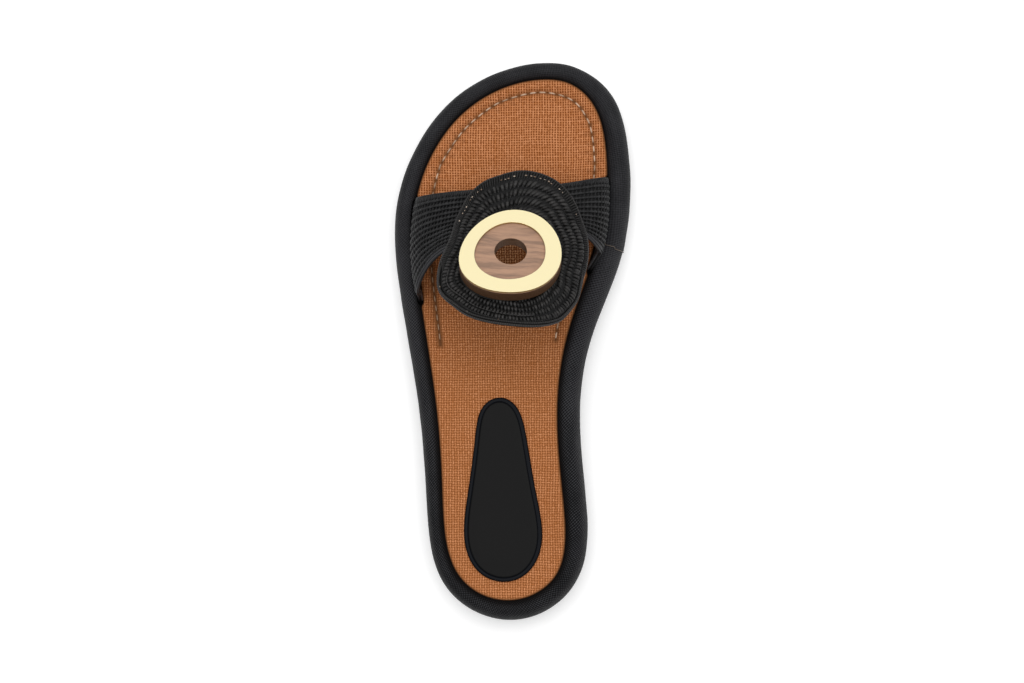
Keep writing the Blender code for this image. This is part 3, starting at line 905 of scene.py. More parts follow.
def evenly(points: Array, rows: int, by_column: int) -> Array:
    """Grid resampled to even rows, by linear interpolation.

    Args:
        points: The grid.
        rows: How many rows.
        by_column: Column along which they are evenly spaced.

    Returns:
        The new grid.
    """
    length = running_length(points[:, by_column])
    at = np.linspace(0.0, length[-1], rows)
    i = np.clip(np.searchsorted(length, at, side="right") - 1, 0, len(length) - 2)
    share = ((at - length[i]) / (length[i + 1] - length[i]))[:, None, None]
    return points[i] * (1.0 - share) + points[i + 1] * share


# ---------- Finishes ----------


class Nodes:
    """One material's nodes. Each method returns the socket that it makes."""

    def __init__(self, name: str, roughness: float, specular: float = 0.5, metallic: float = 0.0) -> None:
        """Start a material.

        Args:
            name: The material's name.
            roughness: The shader's constant roughness.
            specular: Its constant specular level.
            metallic: Its constant metallic share.
        """
        self.material = bpy.data.materials.new(name)
        self.material.use_nodes = True
        self.tree = self.material.node_tree
        self.shader = self.tree.nodes["Principled BSDF"]
        self.shader.inputs["Roughness"].default_value = roughness
        self.shader.inputs["Specular IOR Level"].default_value = specular
        self.shader.inputs["Metallic"].default_value = metallic

    def feed(self, socket: Socket, value: Value | Triple) -> None:
        """Give a socket a value.

        Args:
            socket: An input.
            value: A constant, or another socket to link.
        """
        if isinstance(value, Socket):
            self.tree.links.new(value, socket)
        else:
            socket.default_value = (*value, 1.0) if socket.type == "RGBA" else value

    def add(self, kind: str, inputs: dict[int | str, Value | Triple], **settings: str) -> bpy.types.Node:
        """New node.

        Args:
            kind: Its type, without the prefix that all have.
            inputs: Its inputs' values, by number or name.
            settings: Its own settings, by name.

        Returns:
            The node.
        """
        node = self.tree.nodes.new("ShaderNode" + kind)
        for name, setting in settings.items():
            setattr(node, name, setting)
        for name, value in inputs.items():
            self.feed(node.inputs[name], value)
        return node

    def number(self, operation: str, *values: Value) -> Socket:
        """Result of one Math node."""
        return self.add("Math", dict(enumerate(values)), operation=operation).outputs[0]

    def total(self, *values: Value) -> Socket:
        """Sum of several values."""
        return reduce(partial(self.number, "ADD"), values)

    def product(self, *values: Value) -> Socket:
        """Product of several values."""
        return reduce(partial(self.number, "MULTIPLY"), values)

    def rest(self, value: Value) -> Socket:
        """1 less a value."""
        return self.number("SUBTRACT", 1.0, value)

    def ramp(self, value: Value, start: Value, end: Value, low: Value = 0.0, high: Value = 1.0) -> Socket:
        """Value taken from start..end to low..high with an S-curve, and held beyond."""
        inputs = dict(enumerate((value, start, end, low, high)))
        return self.add("MapRange", inputs, interpolation_type="SMOOTHSTEP").outputs[0]

    def mix(self, share: Value, first: Socket | Triple, second: Socket | Triple) -> Socket:
        """Colour between two others."""
        return self.add("Mix", {0: share, 6: first, 7: second}, data_type="RGBA").outputs[2]

    def split(self, vector: Socket) -> tuple[Socket, ...]:
        """Three numbers of a vector."""
        return tuple(self.add("SeparateXYZ", {0: vector}).outputs)

    def scaled(self, x: Scaled, y: Scaled, z: Scaled | float = 0.0) -> Socket:
        """Vector of sockets, each times its own factor, with a constant in the last place or none."""
        parts = [self.product(*part) if isinstance(part, tuple) else part for part in (x, y, z)]
        return self.add("CombineXYZ", dict(enumerate(parts))).outputs[0]

    def place(self, turn_x: float = 0.0) -> Socket:
        """Object coordinates in millimetres, turned about X by an angle in degrees."""
        inputs = {"Vector": self.add("TexCoord", {}).outputs["Object"], "Scale": (1.0 / MM,) * 3}
        return self.add("Mapping", inputs | {"Rotation": (math.radians(turn_x), 0.0, 0.0)}).outputs[0]

    def lay(self) -> Socket:
        """The piece's own UV, which runs along and across its cloth or strands."""
        return self.add("UVMap", {}, uv_map="lay").outputs[0]

    def carried(self, label: str = "tone") -> Socket:
        """The number that each point carries under a label."""
        return self.add("Attribute", {}, attribute_name=label).outputs["Fac"]

    def noise(self, place: Socket, scale: float = 1.0, detail: float = 2.0, rough: float = 0.5) -> Socket:
        """Noise from 0 to 1, its grains 1 / scale long."""
        inputs = {"Vector": place, "Scale": scale, "Detail": detail, "Roughness": rough}
        return self.add("TexNoise", inputs).outputs["Fac"]

    def set(self, **values: Value | Triple) -> None:
        """Feed the shader's inputs, named in small letters with underscores."""
        for label, value in values.items():
            self.feed(self.shader.inputs[label.replace("_", " ").title()], value)

    def bump(self, height: Socket, depth: float) -> Socket:
        """Normal bent by a height from 0 to 1, its depth in millimetres."""
        return self.add("Bump", {"Distance": depth * MM, "Height": height}).outputs[0]

    def finished(self, color: Socket | Triple, height: Socket, depth: float) -> Material:
        """The material, once it has its colour and its bump."""
        self.set(base_color=color, normal=self.bump(height, depth))
        return self.material


@dataclass(frozen=True)
class WeaveFinish:
    """Brown open plain weave: warps along y and wefts along x, with a dark hole at each of their corners.

    A warp's height is |sin(πx / warp pitch)| and a weft's is |sin(πy / weft pitch)|, the lower thread of
    each crossing a little less, and the cloth's is the higher of both. A warp is on top where the sines'
    product is positive. Each thread has its own tone and its slubs.
    """

    warp_pitch: float = 1.18
    weft_pitch: float = 1.15
    hole: Triple = (0.200, 0.054, 0.010)
    hole_at_heel: Triple = (0.262, 0.086, 0.024)
    dark: Triple = (0.42, 0.148, 0.046)
    light: Triple = (0.66, 0.285, 0.130)
    pale: Triple = (0.72, 0.42, 0.22)
    # Painted shade in the stitched channel and along the cover's outer edge, by the tone attribute.
    painted_shade: Triple = (0.20, 0.080, 0.028)
    painted_deep_shade: Triple = (0.050, 0.020, 0.009)
    fray: float = 0.5
    under_at_toe: float = 0.90
    under_behind: float = 0.73
    # Painted light: paler thread crowns in a round pool under the disc's hole, standing in for light that
    # falls through it.
    painted_light_pool: Span = (-1.0, 41.0)
    painted_light_reach: float = 9.5
    painted_light: Triple = (0.84, 0.45, 0.24)
    weft_share: float = 0.93
    relief: float = 0.22
    roughness: float = 0.85

    def thread(self, nodes: Nodes, across: Socket, along: Socket, pitch: float, seed: float) -> Socket:
        """Tone of one set of threads: one for each thread, with grains long along it.

        Args:
            nodes: The material's nodes.
            across: Place across the threads.
            along: Place along them.
            pitch: From thread to thread.
            seed: Where in the noise they lie.

        Returns:
            The tone.
        """
        number = nodes.number("FLOOR", nodes.product(across, 1.0 / pitch))
        lane = nodes.scaled((number, 3.7), (along, 0.04), seed)
        slub = nodes.scaled((number, 5.3), (along, 0.45), seed + 4.0)
        return nodes.total(nodes.product(nodes.noise(lane, 1.0, 1.0), 0.55),
                           nodes.product(nodes.noise(slub), 0.65), -0.1)

    def make(self) -> Material:
        """Build the material. The tone attribute paints shade into the stitched channel and along the outer
        edge, and a round pool under the disc's hole is painted light.
        """
        nodes = Nodes("brown_weave", self.roughness, specular=0.08)
        x, y, _ = nodes.split(nodes.place())
        sway = nodes.noise(nodes.scaled((x, 0.03), (y, 0.03)))
        x = nodes.total(x, nodes.product(sway, 2.6))
        y = nodes.total(y, nodes.product(sway, -2.2))
        wave_x = nodes.number("SINE", nodes.product(x, math.pi / self.warp_pitch))
        wave_y = nodes.number("SINE", nodes.product(y, math.pi / self.weft_pitch))
        dome_x = nodes.number("ABSOLUTE", wave_x)
        dome_y = nodes.number("ABSOLUTE", wave_y)
        warp_top = nodes.number("GREATER_THAN", nodes.product(wave_x, wave_y), 0.0)
        heelward = nodes.ramp(y, 75.0, 48.0, self.under_at_toe, self.under_behind)
        gained = nodes.rest(heelward)
        under = nodes.rest(warp_top)
        warp = nodes.product(dome_x, nodes.total(heelward, nodes.product(gained, warp_top)))
        weft = nodes.product(dome_y, nodes.total(heelward, nodes.product(gained, under)), self.weft_share)
        warp_tone = self.thread(nodes, x, y, self.warp_pitch, 1.0)
        weft_tone = self.thread(nodes, y, x, self.weft_pitch, 9.0)
        over = nodes.number("GREATER_THAN", warp, weft)
        fray = nodes.noise(nodes.scaled((x, 0.75), (y, 0.75), 3.0), 1.0, 2.0, 0.6)
        frayed = nodes.product(fray, self.fray)
        dome = nodes.total(nodes.number("MAXIMUM", warp, weft), frayed, -0.5 * self.fray)
        tone = nodes.total(nodes.product(over, warp_tone), nodes.product(nodes.rest(over), weft_tone))
        thread = nodes.mix(nodes.ramp(tone, 0.2, 0.75), self.dark, self.light)
        thread = nodes.mix(nodes.ramp(tone, 0.62, 0.95, 0.0, 0.35), thread, self.pale)
        # Painted light: a round pool of paler thread crowns under the disc's hole.
        away = [nodes.total(at, -middle) for at, middle in zip((x, y), self.painted_light_pool)]
        far = nodes.total(*[nodes.product(part, part) for part in away])
        painted_light_pool = nodes.ramp(far, self.painted_light_reach ** 2, 0.25 * self.painted_light_reach ** 2)
        thread = nodes.mix(nodes.product(painted_light_pool, nodes.ramp(dome, 0.84, 1.0)), thread, self.painted_light)
        hole = nodes.mix(nodes.ramp(y, 70.0, -30.0), self.hole, self.hole_at_heel)
        cloth = nodes.mix(nodes.ramp(dome, 0.60, 0.97), hole, thread)
        # The tone attribute paints shade into the stitched channel and along the outer edge.
        sunk = nodes.carried()
        cloth = nodes.mix(nodes.ramp(sunk, 0.0, 0.85, 0.0, 0.8), cloth, self.painted_shade)
        cloth = nodes.mix(nodes.ramp(sunk, 0.55, 0.98, 0.0, 0.92), cloth, self.painted_deep_shade)
        return nodes.finished(cloth, dome, self.relief)


@dataclass(frozen=True)
class CanvasFinish:
    """Black ribbed canvas on the wrapped rim, in the cloth's own lay, u along and v across in mm.

    The tone is 0 where the cloth lies on the bias and 1 where its ribs cross the rim, and the shade,
    painted shade on the rim's inner slope, is 1 down in the groove.
    """

    bias_pitch: float = 1.2
    toe_pitch: float = 0.85
    crossing: float = 0.8
    dark: Triple = (0.0020, 0.0020, 0.0026)
    light: Triple = (0.044, 0.044, 0.048)
    start_at_heel: float = 0.70
    start_at_toe: float = 0.24
    contrast_at_heel: float = 0.46
    contrast_at_toe: float = 0.80
    flat_at_toe: float = 0.45
    # Painted shade on the rim's inner slope and in its groove.
    shaded: Triple = (0.0012, 0.0009, 0.0008)
    relief: float = 0.3
    roughness: float = 0.65

    def ribs(self, nodes: Nodes, u: Socket, v: Socket, pitch: float, lean: float) -> Socket:
        """Ribs, beaded by the threads that cross them.

        Args:
            nodes: The material's nodes.
            u: Place along the rim.
            v: Place across it.
            pitch: From rib to rib.
            lean: Slope of the ribs.

        Returns:
            Their height, from 0 to 1.
        """
        turn = 2.0 * math.pi / pitch
        rib = nodes.number("SINE", nodes.product(nodes.total(u, nodes.product(v, lean)), turn))
        square = nodes.total(v, nodes.product(u, -lean))
        bead = nodes.number("SINE", nodes.product(square, turn * self.crossing))
        return nodes.total(nodes.product(rib, 0.32), nodes.product(bead, 0.18), 0.5)

    def make(self) -> Material:
        """Build the material: ribs, a little uneven, over soft worn places."""
        nodes = Nodes("black_canvas", self.roughness, specular=0.12)
        u, v, _ = nodes.split(nodes.lay())
        drift = nodes.noise(nodes.scaled((u, 0.04), (v, 0.06)))
        u = nodes.total(u, nodes.product(drift, 4.0))
        bias = self.ribs(nodes, u, v, self.bias_pitch, 0.8)
        straight = self.ribs(nodes, u, v, self.toe_pitch, 0.06)
        share = nodes.carried()
        height = nodes.total(nodes.product(straight, share), nodes.product(bias, nodes.rest(share)))
        _, y, _ = nodes.split(nodes.place())
        height = nodes.product(height, nodes.ramp(y, 10.0, 75.0, 1.0, self.flat_at_toe))
        grain = nodes.noise(nodes.scaled((u, 1.1), (v, 1.1)), 1.0, 3.0, 0.65)
        patch = nodes.noise(nodes.scaled((u, 0.07), (v, 0.15)))
        parts = ((height, 0.75), (grain, 0.45), (patch, 0.3))
        depth = nodes.total(*[nodes.product(*part) for part in parts])
        start = nodes.ramp(y, -95.0, 60.0, self.start_at_heel, self.start_at_toe)
        contrast = nodes.ramp(y, -95.0, 60.0, self.contrast_at_heel, self.contrast_at_toe)
        share = nodes.ramp(depth, start, nodes.total(start, contrast))
        cloth = nodes.mix(share, self.dark, self.light)
        # Painted shade down the rim's inner slope, from the shade attribute.
        shade = nodes.carried("shade")
        nodes.set(roughness=nodes.ramp(shade, 0.0, 0.6, self.roughness, 1.0))
        return nodes.finished(nodes.mix(shade, cloth, self.shaded), height, self.relief)


@dataclass(frozen=True)
class CordFinish:
    """Waxed cord: its tone differs from strand to strand, with painted shade where its ends dip, and a faint
    ply twist.
    """

    name: str
    dark: Triple
    light: Triple
    painted_end_shade: Triple = (0.003, 0.003, 0.003)
    roughness: float = 0.5
    specular: float = 0.22
    twist: float = 0.05

    def make(self) -> Material:
        """Build the material."""
        nodes = Nodes(self.name, self.roughness, specular=self.specular)
        u, v, _ = nodes.split(nodes.lay())
        ply = nodes.number("SINE", nodes.product(nodes.total(nodes.product(u, 2.0), v), 4.0 * math.pi))
        fleck = nodes.noise(nodes.place(), 0.9, 3.0, 0.6)
        share = nodes.total(nodes.product(nodes.carried(), 0.55), nodes.product(fleck, 0.6), -0.1)
        # Painted shade towards each strand's ends, where they dip.
        end = nodes.number("SINE", nodes.product(nodes.number("FRACT", u), math.pi))
        body = nodes.mix(nodes.ramp(share, 0.1, 0.9), self.dark, self.light)
        color = nodes.mix(nodes.ramp(end, 0.0, 0.75), self.painted_end_shade, body)
        return nodes.finished(color, nodes.number("MULTIPLY_ADD", ply, 0.5, 0.5), self.twist)


@dataclass(frozen=True)
class LeatherFinish:
    """Smooth black leather with a very fine pore, bluer on its sunk border, where the shade is 1."""

    color: Triple = (0.0038, 0.0037, 0.0037)
    border: Triple = (0.0016, 0.0024, 0.0046)
    roughness: float = 0.45
    pore: float = 0.012

    def make(self) -> Material:
        """Build the material."""
        nodes = Nodes("black_leather", self.roughness, specular=0.08)
        color = nodes.mix(nodes.carried("shade"), self.color, self.border)
        return nodes.finished(color, nodes.noise(nodes.place(), 2.6, 4.0, 0.6), self.pore)


@dataclass(frozen=True)
class RubberFinish:
    """Matt black rubber with a fine pebble."""

    dark: Triple = (0.010, 0.010, 0.011)
    light: Triple = (0.026, 0.026, 0.027)
    roughness: float = 0.68
    pebble: float = 0.08

    def make(self) -> Material:
        """Build the material."""
        nodes = Nodes("black_rubber", self.roughness, specular=0.35)
        grain = nodes.noise(nodes.place(), 1.1, 3.0, 0.6)
        wear = nodes.noise(nodes.place(), 0.05, 4.0, 0.6)
        color = nodes.mix(nodes.ramp(wear, 0.35, 0.7), self.dark, self.light)
        return nodes.finished(color, grain, self.pebble)


def above_seat(nodes: Nodes, upper: UpperForm) -> Socket:
    """Height over the disc's seat, in mm: the place's product with the seat's normal, less the seat's."""
    parts = [nodes.product(*part) for part in zip(nodes.split(nodes.place()), upper.seat_normal.tolist())]
    return nodes.total(*parts, -float(upper.seat_normal @ upper.seat))


@dataclass(frozen=True)
class WalnutFinish:
    """Pale oiled walnut, its grain across the foot in the plane of the tilted disc; its sawn sides darker,
    partly as end grain and partly as painted shade.
    """

    upper: UpperForm
    pale: Triple = (0.402, 0.242, 0.160)
    mid: Triple = (0.306, 0.184, 0.124)
    streak: Triple = (0.153, 0.108, 0.083)
    # The sides' darkness is partly the end grain's own colour and partly painted shade.
    side: Triple = (0.050, 0.023, 0.010)
    side_pale: Triple = (0.135, 0.074, 0.042)
    face_height: float = 11.0
    rounding: float = 0.22
    roughness: float = 0.5
    grain: float = 0.03

    def make(self) -> Material:
        """Build the material: long grain lines, bent by slow noise, with darker pores and streaks."""
        nodes = Nodes("walnut", self.roughness, specular=0.2)
        x, y, z = nodes.split(nodes.place(turn_x=self.upper.disc_slope))
        sway = nodes.noise(nodes.scaled((x, 0.06), (y, 0.06), (z, 0.05)))
        bent = nodes.total(y, nodes.product(sway, 5.5))
        broad = nodes.noise(nodes.scaled((x, 0.035), (bent, 0.36), (z, 0.36)), 1.0, 3.0, 0.6)
        fine = nodes.noise(nodes.scaled((x, 0.02), (bent, 0.75), (z, 0.75)), 4.5, 4.0, 0.7)
        body = nodes.mix(nodes.ramp(broad, 0.35, 0.65), self.mid, self.pale)
        share = nodes.total(nodes.product(broad, 0.6), nodes.product(fine, 0.5))
        face = nodes.mix(nodes.ramp(share, 0.62, 0.40, 0.0, 0.55), body, self.streak)
        below = nodes.number("LESS_THAN", above_seat(nodes, self.upper), self.face_height - self.rounding)
        side = nodes.mix(nodes.ramp(fine, 0.3, 0.7, 0.0, 0.6), self.side, self.side_pale)
        return nodes.finished(nodes.mix(below, face, side), fine, self.grain)


@dataclass(frozen=True)
class GiltFinish:
    """Satin gilt plate, brushed very lightly, its thin side duller and darker as painted shade."""

    upper: UpperForm
    color: Triple = (0.985, 0.875, 0.54)
    # Painted shade: the ring's thin side is coloured darker and made less metallic.
    side: Triple = (0.42, 0.25, 0.07)
    face_height: float = 12.2
    rounding: float = 0.18
    roughness: float = 0.33
    side_dullness: float = 0.7
    brush: float = 0.004

    def make(self) -> Material:
        """Build the material."""
        nodes = Nodes("gilt_plate", self.roughness, metallic=1.0)
        below = nodes.number("LESS_THAN", above_seat(nodes, self.upper), self.face_height - self.rounding)
        color = nodes.mix(below, self.color, self.side)
        nodes.set(metallic=nodes.rest(nodes.product(below, self.side_dullness)))
        return nodes.finished(color, nodes.noise(nodes.place(), 1.4, 2.0), self.brush)


# ---------- Sub-assemblies ----------


@dataclass
class Packed:
    """A hard piece, which stays as packed and gets a better finish."""

    node: str
    finish: RubberFinish | WalnutFinish | GiltFinish

    def build(self) -> None:
        """Nothing is modelled."""

    def dress(self) -> None:
        """Give the piece its finish in place of its plain one."""
        materials = bpy.data.objects[self.node].data.materials
        materials.clear()
        materials.append(self.finish.make())
        LOG.info("%s: kept as packed, finish %s", self.node, materials[0].name)


@dataclass
class Footbed:
    """Canvas-wrapped midsole: side wall, padded rim and the recess under the insole.

    Across the rim, going up the side and over to the groove, place and height follow quarter turns t:
    the side has share = foot · (1 - sin t) and part = middle · (1 - cos t), the outer crest has
    share = crest · (1 - cos t) and part = middle + (1 - middle) · sin t, and the groove side falls by
    (rise + groove) · (1 - cos t). Share is of the rim's width and part is of its height.
    """

    sole: SoleForm
    upper: UpperForm
    finish: CanvasFinish = CanvasFinish()
    thread_finish: CordFinish = CordFinish(
        "seam_thread", (0.10, 0.08, 0.065), (0.20, 0.165, 0.13), (0.08, 0.06, 0.05)
    )
    rise: float = 3.4
    foot: float = 0.30
    crest: float = 0.50
    inner: float = 0.95
    groove: float = 0.8
    middle: float = 0.5
    insole_thickness: float = 3.0
    stations: int = 900
    side_steps: int = 10
    crest_steps: int = 14
    groove_steps: int = 14
    lump: float = 0.14
    lump_reach: float = 0.9
    weave_pull: float = 0.10
    pull_fall: float = 2.5
    notch: float = 2.0
    notch_fall: float = 1.2
    notch_margin: Span = (0.2, -1.0)
    notch_soft: float = 2.0
    hug: float = 0.45
    seam_station: float = 108.9
    seam_step: float = 0.3
    seam_skew: float = 2.4
    seam_fade: float = 9.0
    seam_thread_radius: float = 0.2
    # Painted shade over the rim's inner slope, the groove and the recess floor.
    shade_from: float = 0.60
    shade_from_at_toe: float = 0.78
    shade_full: float = 0.96
    toe_shade_start: float = 15.0
    toe_shade_length: float = 60.0
    deepest: float = 0.85
    straight_ribs: Span = (112.0, 196.0)

    def section(self) -> tuple[Array, Array, Array]:
        """Share of the rim's width, part of its height and fall below its crest, for each column."""
        side = quarter(self.side_steps)
        crest = quarter(self.crest_steps + 1)[1:]
        groove = quarter(self.groove_steps + 1)[1:]
        share = np.concatenate([self.foot * (1.0 - np.sin(side)), self.crest * (1.0 - np.cos(crest)),
                                self.crest + (self.inner - self.crest) * np.sin(groove)])
        part = np.concatenate([self.middle * (1.0 - np.cos(side)),
                               self.middle + (1.0 - self.middle) * np.sin(crest), np.ones_like(groove)])
        fall = np.concatenate([np.zeros(len(side) + len(crest)),
                               (self.rise + self.groove) * (1.0 - np.cos(groove))])
        return share, part, fall

    def build(self) -> None:
        """Model the wrapped body, all round."""
        sole = self.sole
        rail = sole.rail(self.stations)
        share, part, fall = self.section()
        plan = rail.moved_in(share)
        x, y = plan[..., 0], plan[..., 1]
        low = sole.underside(y) + sole.outsole_thickness + GAP
        crest = sole.bed_height(x, y) + self.rise
        feet = self.upper.marks(rail, self.notch_margin, self.notch_soft)
        z = low + (crest - low) * part - fall * (1.0 - self.hug * feet)
        rim = np.stack([x, y, z], axis=-1)
        normal = normals_of(rim, closed=True)
        along = rail.along[:-1, None]
        length = rail.along[-1]
        on_top = hump((share - self.crest) / self.lump_reach)
        lumps = wander(along / length + share * 0.013, 11) * self.lump
        pull = self.weave_pull * smooth_step(fall / self.pull_fall)
        puckers = wander(along / length + share * 0.004, 12)
        out = lumps * on_top + puckers * pull + self.seam(rail, share)
        out = out - feet * self.notch * smooth_step((fall - self.notch_fall) / self.notch_soft)
        rim = rim + normal * out[..., None]
        base = towards_middle(rail.moved_in(share[:1])[:, 0], np.linspace(0.0, 1.0, 5)[:-1])
        base_z = sole.underside(base[..., 1]) + sole.outsole_thickness + GAP
        recess = rail.moved_in(np.full(1, self.inner), -self.notch * feet)[:, 0]
        floor = towards_middle(recess, np.linspace(1.0, 0.0, 6))
        floor_z = sole.bed_height(floor[..., 0], floor[..., 1]) - self.insole_thickness - GAP
        shape = body_of(rail, np.dstack([base, base_z]), rim, np.dstack([floor, floor_z]))
        ribs = window(around(self.stations), *self.straight_ribs, 14.0)
        # Painted shade, deepening towards the groove and over the recess floor.
        toe = smooth_step((y[:, :1] - self.toe_shade_start) / self.toe_shade_length)
        start = self.shade_from + (self.shade_from_at_toe - self.shade_from) * toe
        deep = self.deepest * smooth_step((share - start) / (self.shade_full - start))
        floor_shade = np.full(floor.shape[:2], self.deepest)
        shade = marked(rail, shape, base.shape[1], np.concatenate([deep, floor_shade], axis=1))
        tones = ribs.repeat(len(shape.points) // self.stations)
        shape = replace(shape, tones=tones, shades=shade)
        self.body = make_object("wrapped_footbed", shape, self.finish.make(), weld=True)
        self.thread = self.seam_thread(rail, rim, normal)

    def seam(self, rail: Rail, share: Array) -> Array:
        """Lift of the wrap's join: the toe side laps over, and fades out.

        Args:
            rail: The outline.
            share: Each column's share of the rim's width.

        Returns:
            The lift at each point.
        """
        along = rail.along[:-1, None]
        start = np.interp(self.seam_station, around(self.stations), along[:, 0])
        skewed = along - start - (share - self.crest) * self.seam_skew
        fade = 1.0 - smooth_step((skewed - 1.0) / self.seam_fade)
        return self.seam_step * (smooth_step(skewed / 0.5) * fade)

    def seam_thread(self, rail: Rail, rim: Array, normal: Array) -> Piece:
        """The light thread laid over the join, from the side to the groove.

        Args:
            rail: The outline.
            rim: Points of the rim.
            normal: Their normals.

        Returns:
            The thread.
        """
        row = int(np.argmin(np.abs(around(self.stations) - self.seam_station)))
        share = self.section()[0]
        steps = np.arange(self.side_steps - 2, self.side_steps + self.crest_steps + 9)
        skew = (share[steps] - self.crest) * self.seam_skew / (rail.along[row + 1] - rail.along[row])
        rows = row + np.round(skew).astype(int)
        line = rim[rows, steps] + normal[rows, steps] * (0.1 + self.seam_step)
        rope = cord(line, normal[rows, steps], self.seam_thread_radius, 6)
        return make_object("seam_thread", rope, self.thread_finish.make())

    def dress(self) -> None:
        """Fix the body and its thread to the sandal."""
        place(self.body, Slot.CANVAS, ("footbed",), fill=0.9)
        place(self.thread, Slot.CANVAS)


@dataclass
class Insole:
    """Woven cover on a thin cushion: rounded edge, a stitched channel from the instep round the toe."""

    sole: SoleForm
    upper: UpperForm
    finish: WeaveFinish = WeaveFinish()
    thread_finish: CordFinish = CordFinish(
        "stitch_thread", (0.37, 0.23, 0.145), (0.64, 0.45, 0.32), (0.17, 0.085, 0.042), 0.6
    )
    stations: int = 1440
    skirt: float = 2.4
    edge: float = 0.7
    edge_out: float = 0.80
    puff: float = 0.45
    wave: float = 0.1
    top_inset: float = 9.5
    top_step: float = 0.32
    middle_steps: int = 14
    notch: float = 0.4
    notch_margin: Span = (0.6, 0.5)
    notch_soft: float = 2.4
    first_stitch: float = 2.0
    stitch_pitch: float = 4.4
    stitch_length: float = 3.0
    stitch_radius: float = 0.38
    channel_depth: float = 1.0
    channel_width: float = 2.0
    furrow: Span = (236.0, 276.0)
    furrow_gain: float = 0.35
    pucker: float = 0.36
    pucker_reach: float = 2.6
    # Painted shade: how wide the darkened outer edge is, and how deep the edge and stitched channel are
    # darkened.
    edge_shade_width: float = 1.5
    edge_shade: float = 0.95
    channel_shade: float = 0.80
    # Columns: station, inset from the insole's edge.
    path: Table = (
        (88.25, 4.2), (90.75, 4.9), (125.75, 5.5), (129.5, 5.1), (136.75, 4.9), (144.0, 4.6),
        (151.25, 5.1), (159.75, 5.2), (168.25, 5.7), (175.0, 5.75), (183.5, 5.1), (192.0, 5.0),
        (198.5, 4.7), (207.0, 5.1), (214.0, 5.1), (221.0, 5.3), (226.75, 5.0), (234.25, 6.2),
        (255.25, 6.1), (264.25, 5.8), (268.25, 5.6), (272.25, 5.3),
    )

    def stitch_line(self) -> tuple[Array, Array, Array]:
        """The stitching's stations, plan points and running length, finely."""
        station, inset = columns(self.path)
        at = np.linspace(station[0], station[-1], 2400)
        line = self.sole.within(at, GAP + np.interp(at, station, inset))
        return at, line, running_length(line)

    def channel(self, inset: Array) -> Array:
        """The stitched channel: a squared cosine across, deeper between the stitches.

        Beside it the cloth puckers with the stitches, by a cosine along. On the lateral side behind the
        band it is an even, wider furrow.

        Args:
            inset: Each column's distance from the cover's edge.

        Returns:
            Its depth at each point.
        """
        station = around(self.stations)
        knots, values = columns(self.path)
        middle = np.interp(station, knots, values)[:, None]
        inside = window(station, knots[0], knots[-1], 1.0)[:, None]
        at, _, along = self.stitch_line()
        from_stitch = (np.interp(station, at, along)[:, None] - self.first_stitch) / self.stitch_pitch
        steady = window(station, *self.furrow, 6.0)[:, None]
        holes = 0.8 + 0.2 * steady - 0.2 * (1.0 - steady) * np.cos(2.0 * math.pi * from_stitch)
        across = (inset - middle) / (self.channel_width * (1.0 + self.furrow_gain * steady))
        beside = hump((np.abs(inset - middle) - self.pucker_reach) / self.pucker_reach)
        puckers = self.pucker * (1.0 - steady) * np.cos(2.0 * math.pi * (from_stitch - 0.5)) * beside
        return inside * (self.channel_depth * holes * hump(across) + puckers)

    def build(self) -> None:
        """Model the cover and its stitches."""
        sole = self.sole
        rail = sole.rail(self.stations)
        turn = quarter(7)
        inset = np.concatenate([[0.0], self.edge * (1.0 - np.cos(turn)),
                                np.arange(self.edge + self.top_step, self.top_inset, self.top_step)])
        sunk = np.concatenate([[self.skirt], self.edge * (1.0 - np.sin(turn)), np.zeros(len(inset) - 8)])
        feet = self.upper.marks(rail, self.notch_margin, self.notch_soft)
        keep = feet * self.notch * (1.0 - smooth_step((inset - 0.2) / 3.0))
        spread = self.edge_out * (1.0 - feet) * (1.0 - smooth_step(inset / 3.0))
        plan = rail.moved_in(np.ones(1), GAP + inset + keep - spread)
        x, y = plan[..., 0], plan[..., 1]
        waves = self.wave * wander(rail.along[:-1, None] / rail.along[-1], 21) * hump((inset - 2.0) / 4.0)
        puff = self.puff * hump((inset - 1.6) / 3.0)
        channel = self.channel(inset)
        z = sole.bed_height(x, y) - sunk + waves + puff - channel
        edge = np.dstack([x, y, z])
        inner = towards_middle(plan[:, -1], np.linspace(1.0, 0.0, self.middle_steps)[1:])
        inner_z = sole.bed_height(inner[..., 0], inner[..., 1])
        base = towards_middle(plan[:, 0], np.linspace(0.0, 1.0, 4)[:-1])
        base_z = sole.bed_height(base[..., 0], base[..., 1]) - self.skirt
        shape = body_of(rail, np.dstack([base, base_z]), edge, np.dstack([inner, inner_z]))
        # Painted shade along the outer edge and in the stitched channel.
        edge_shade = self.edge_shade * (1.0 - smooth_step(inset / self.edge_shade_width))
        sunk_shade = self.channel_shade * channel / self.channel_depth
        shape = replace(shape, tones=marked(rail, shape, base.shape[1], np.maximum(sunk_shade, edge_shade)))
        self.cover = make_object("insole_cover", shape, self.finish.make(), weld=True)
        self.stitches = self.sew()

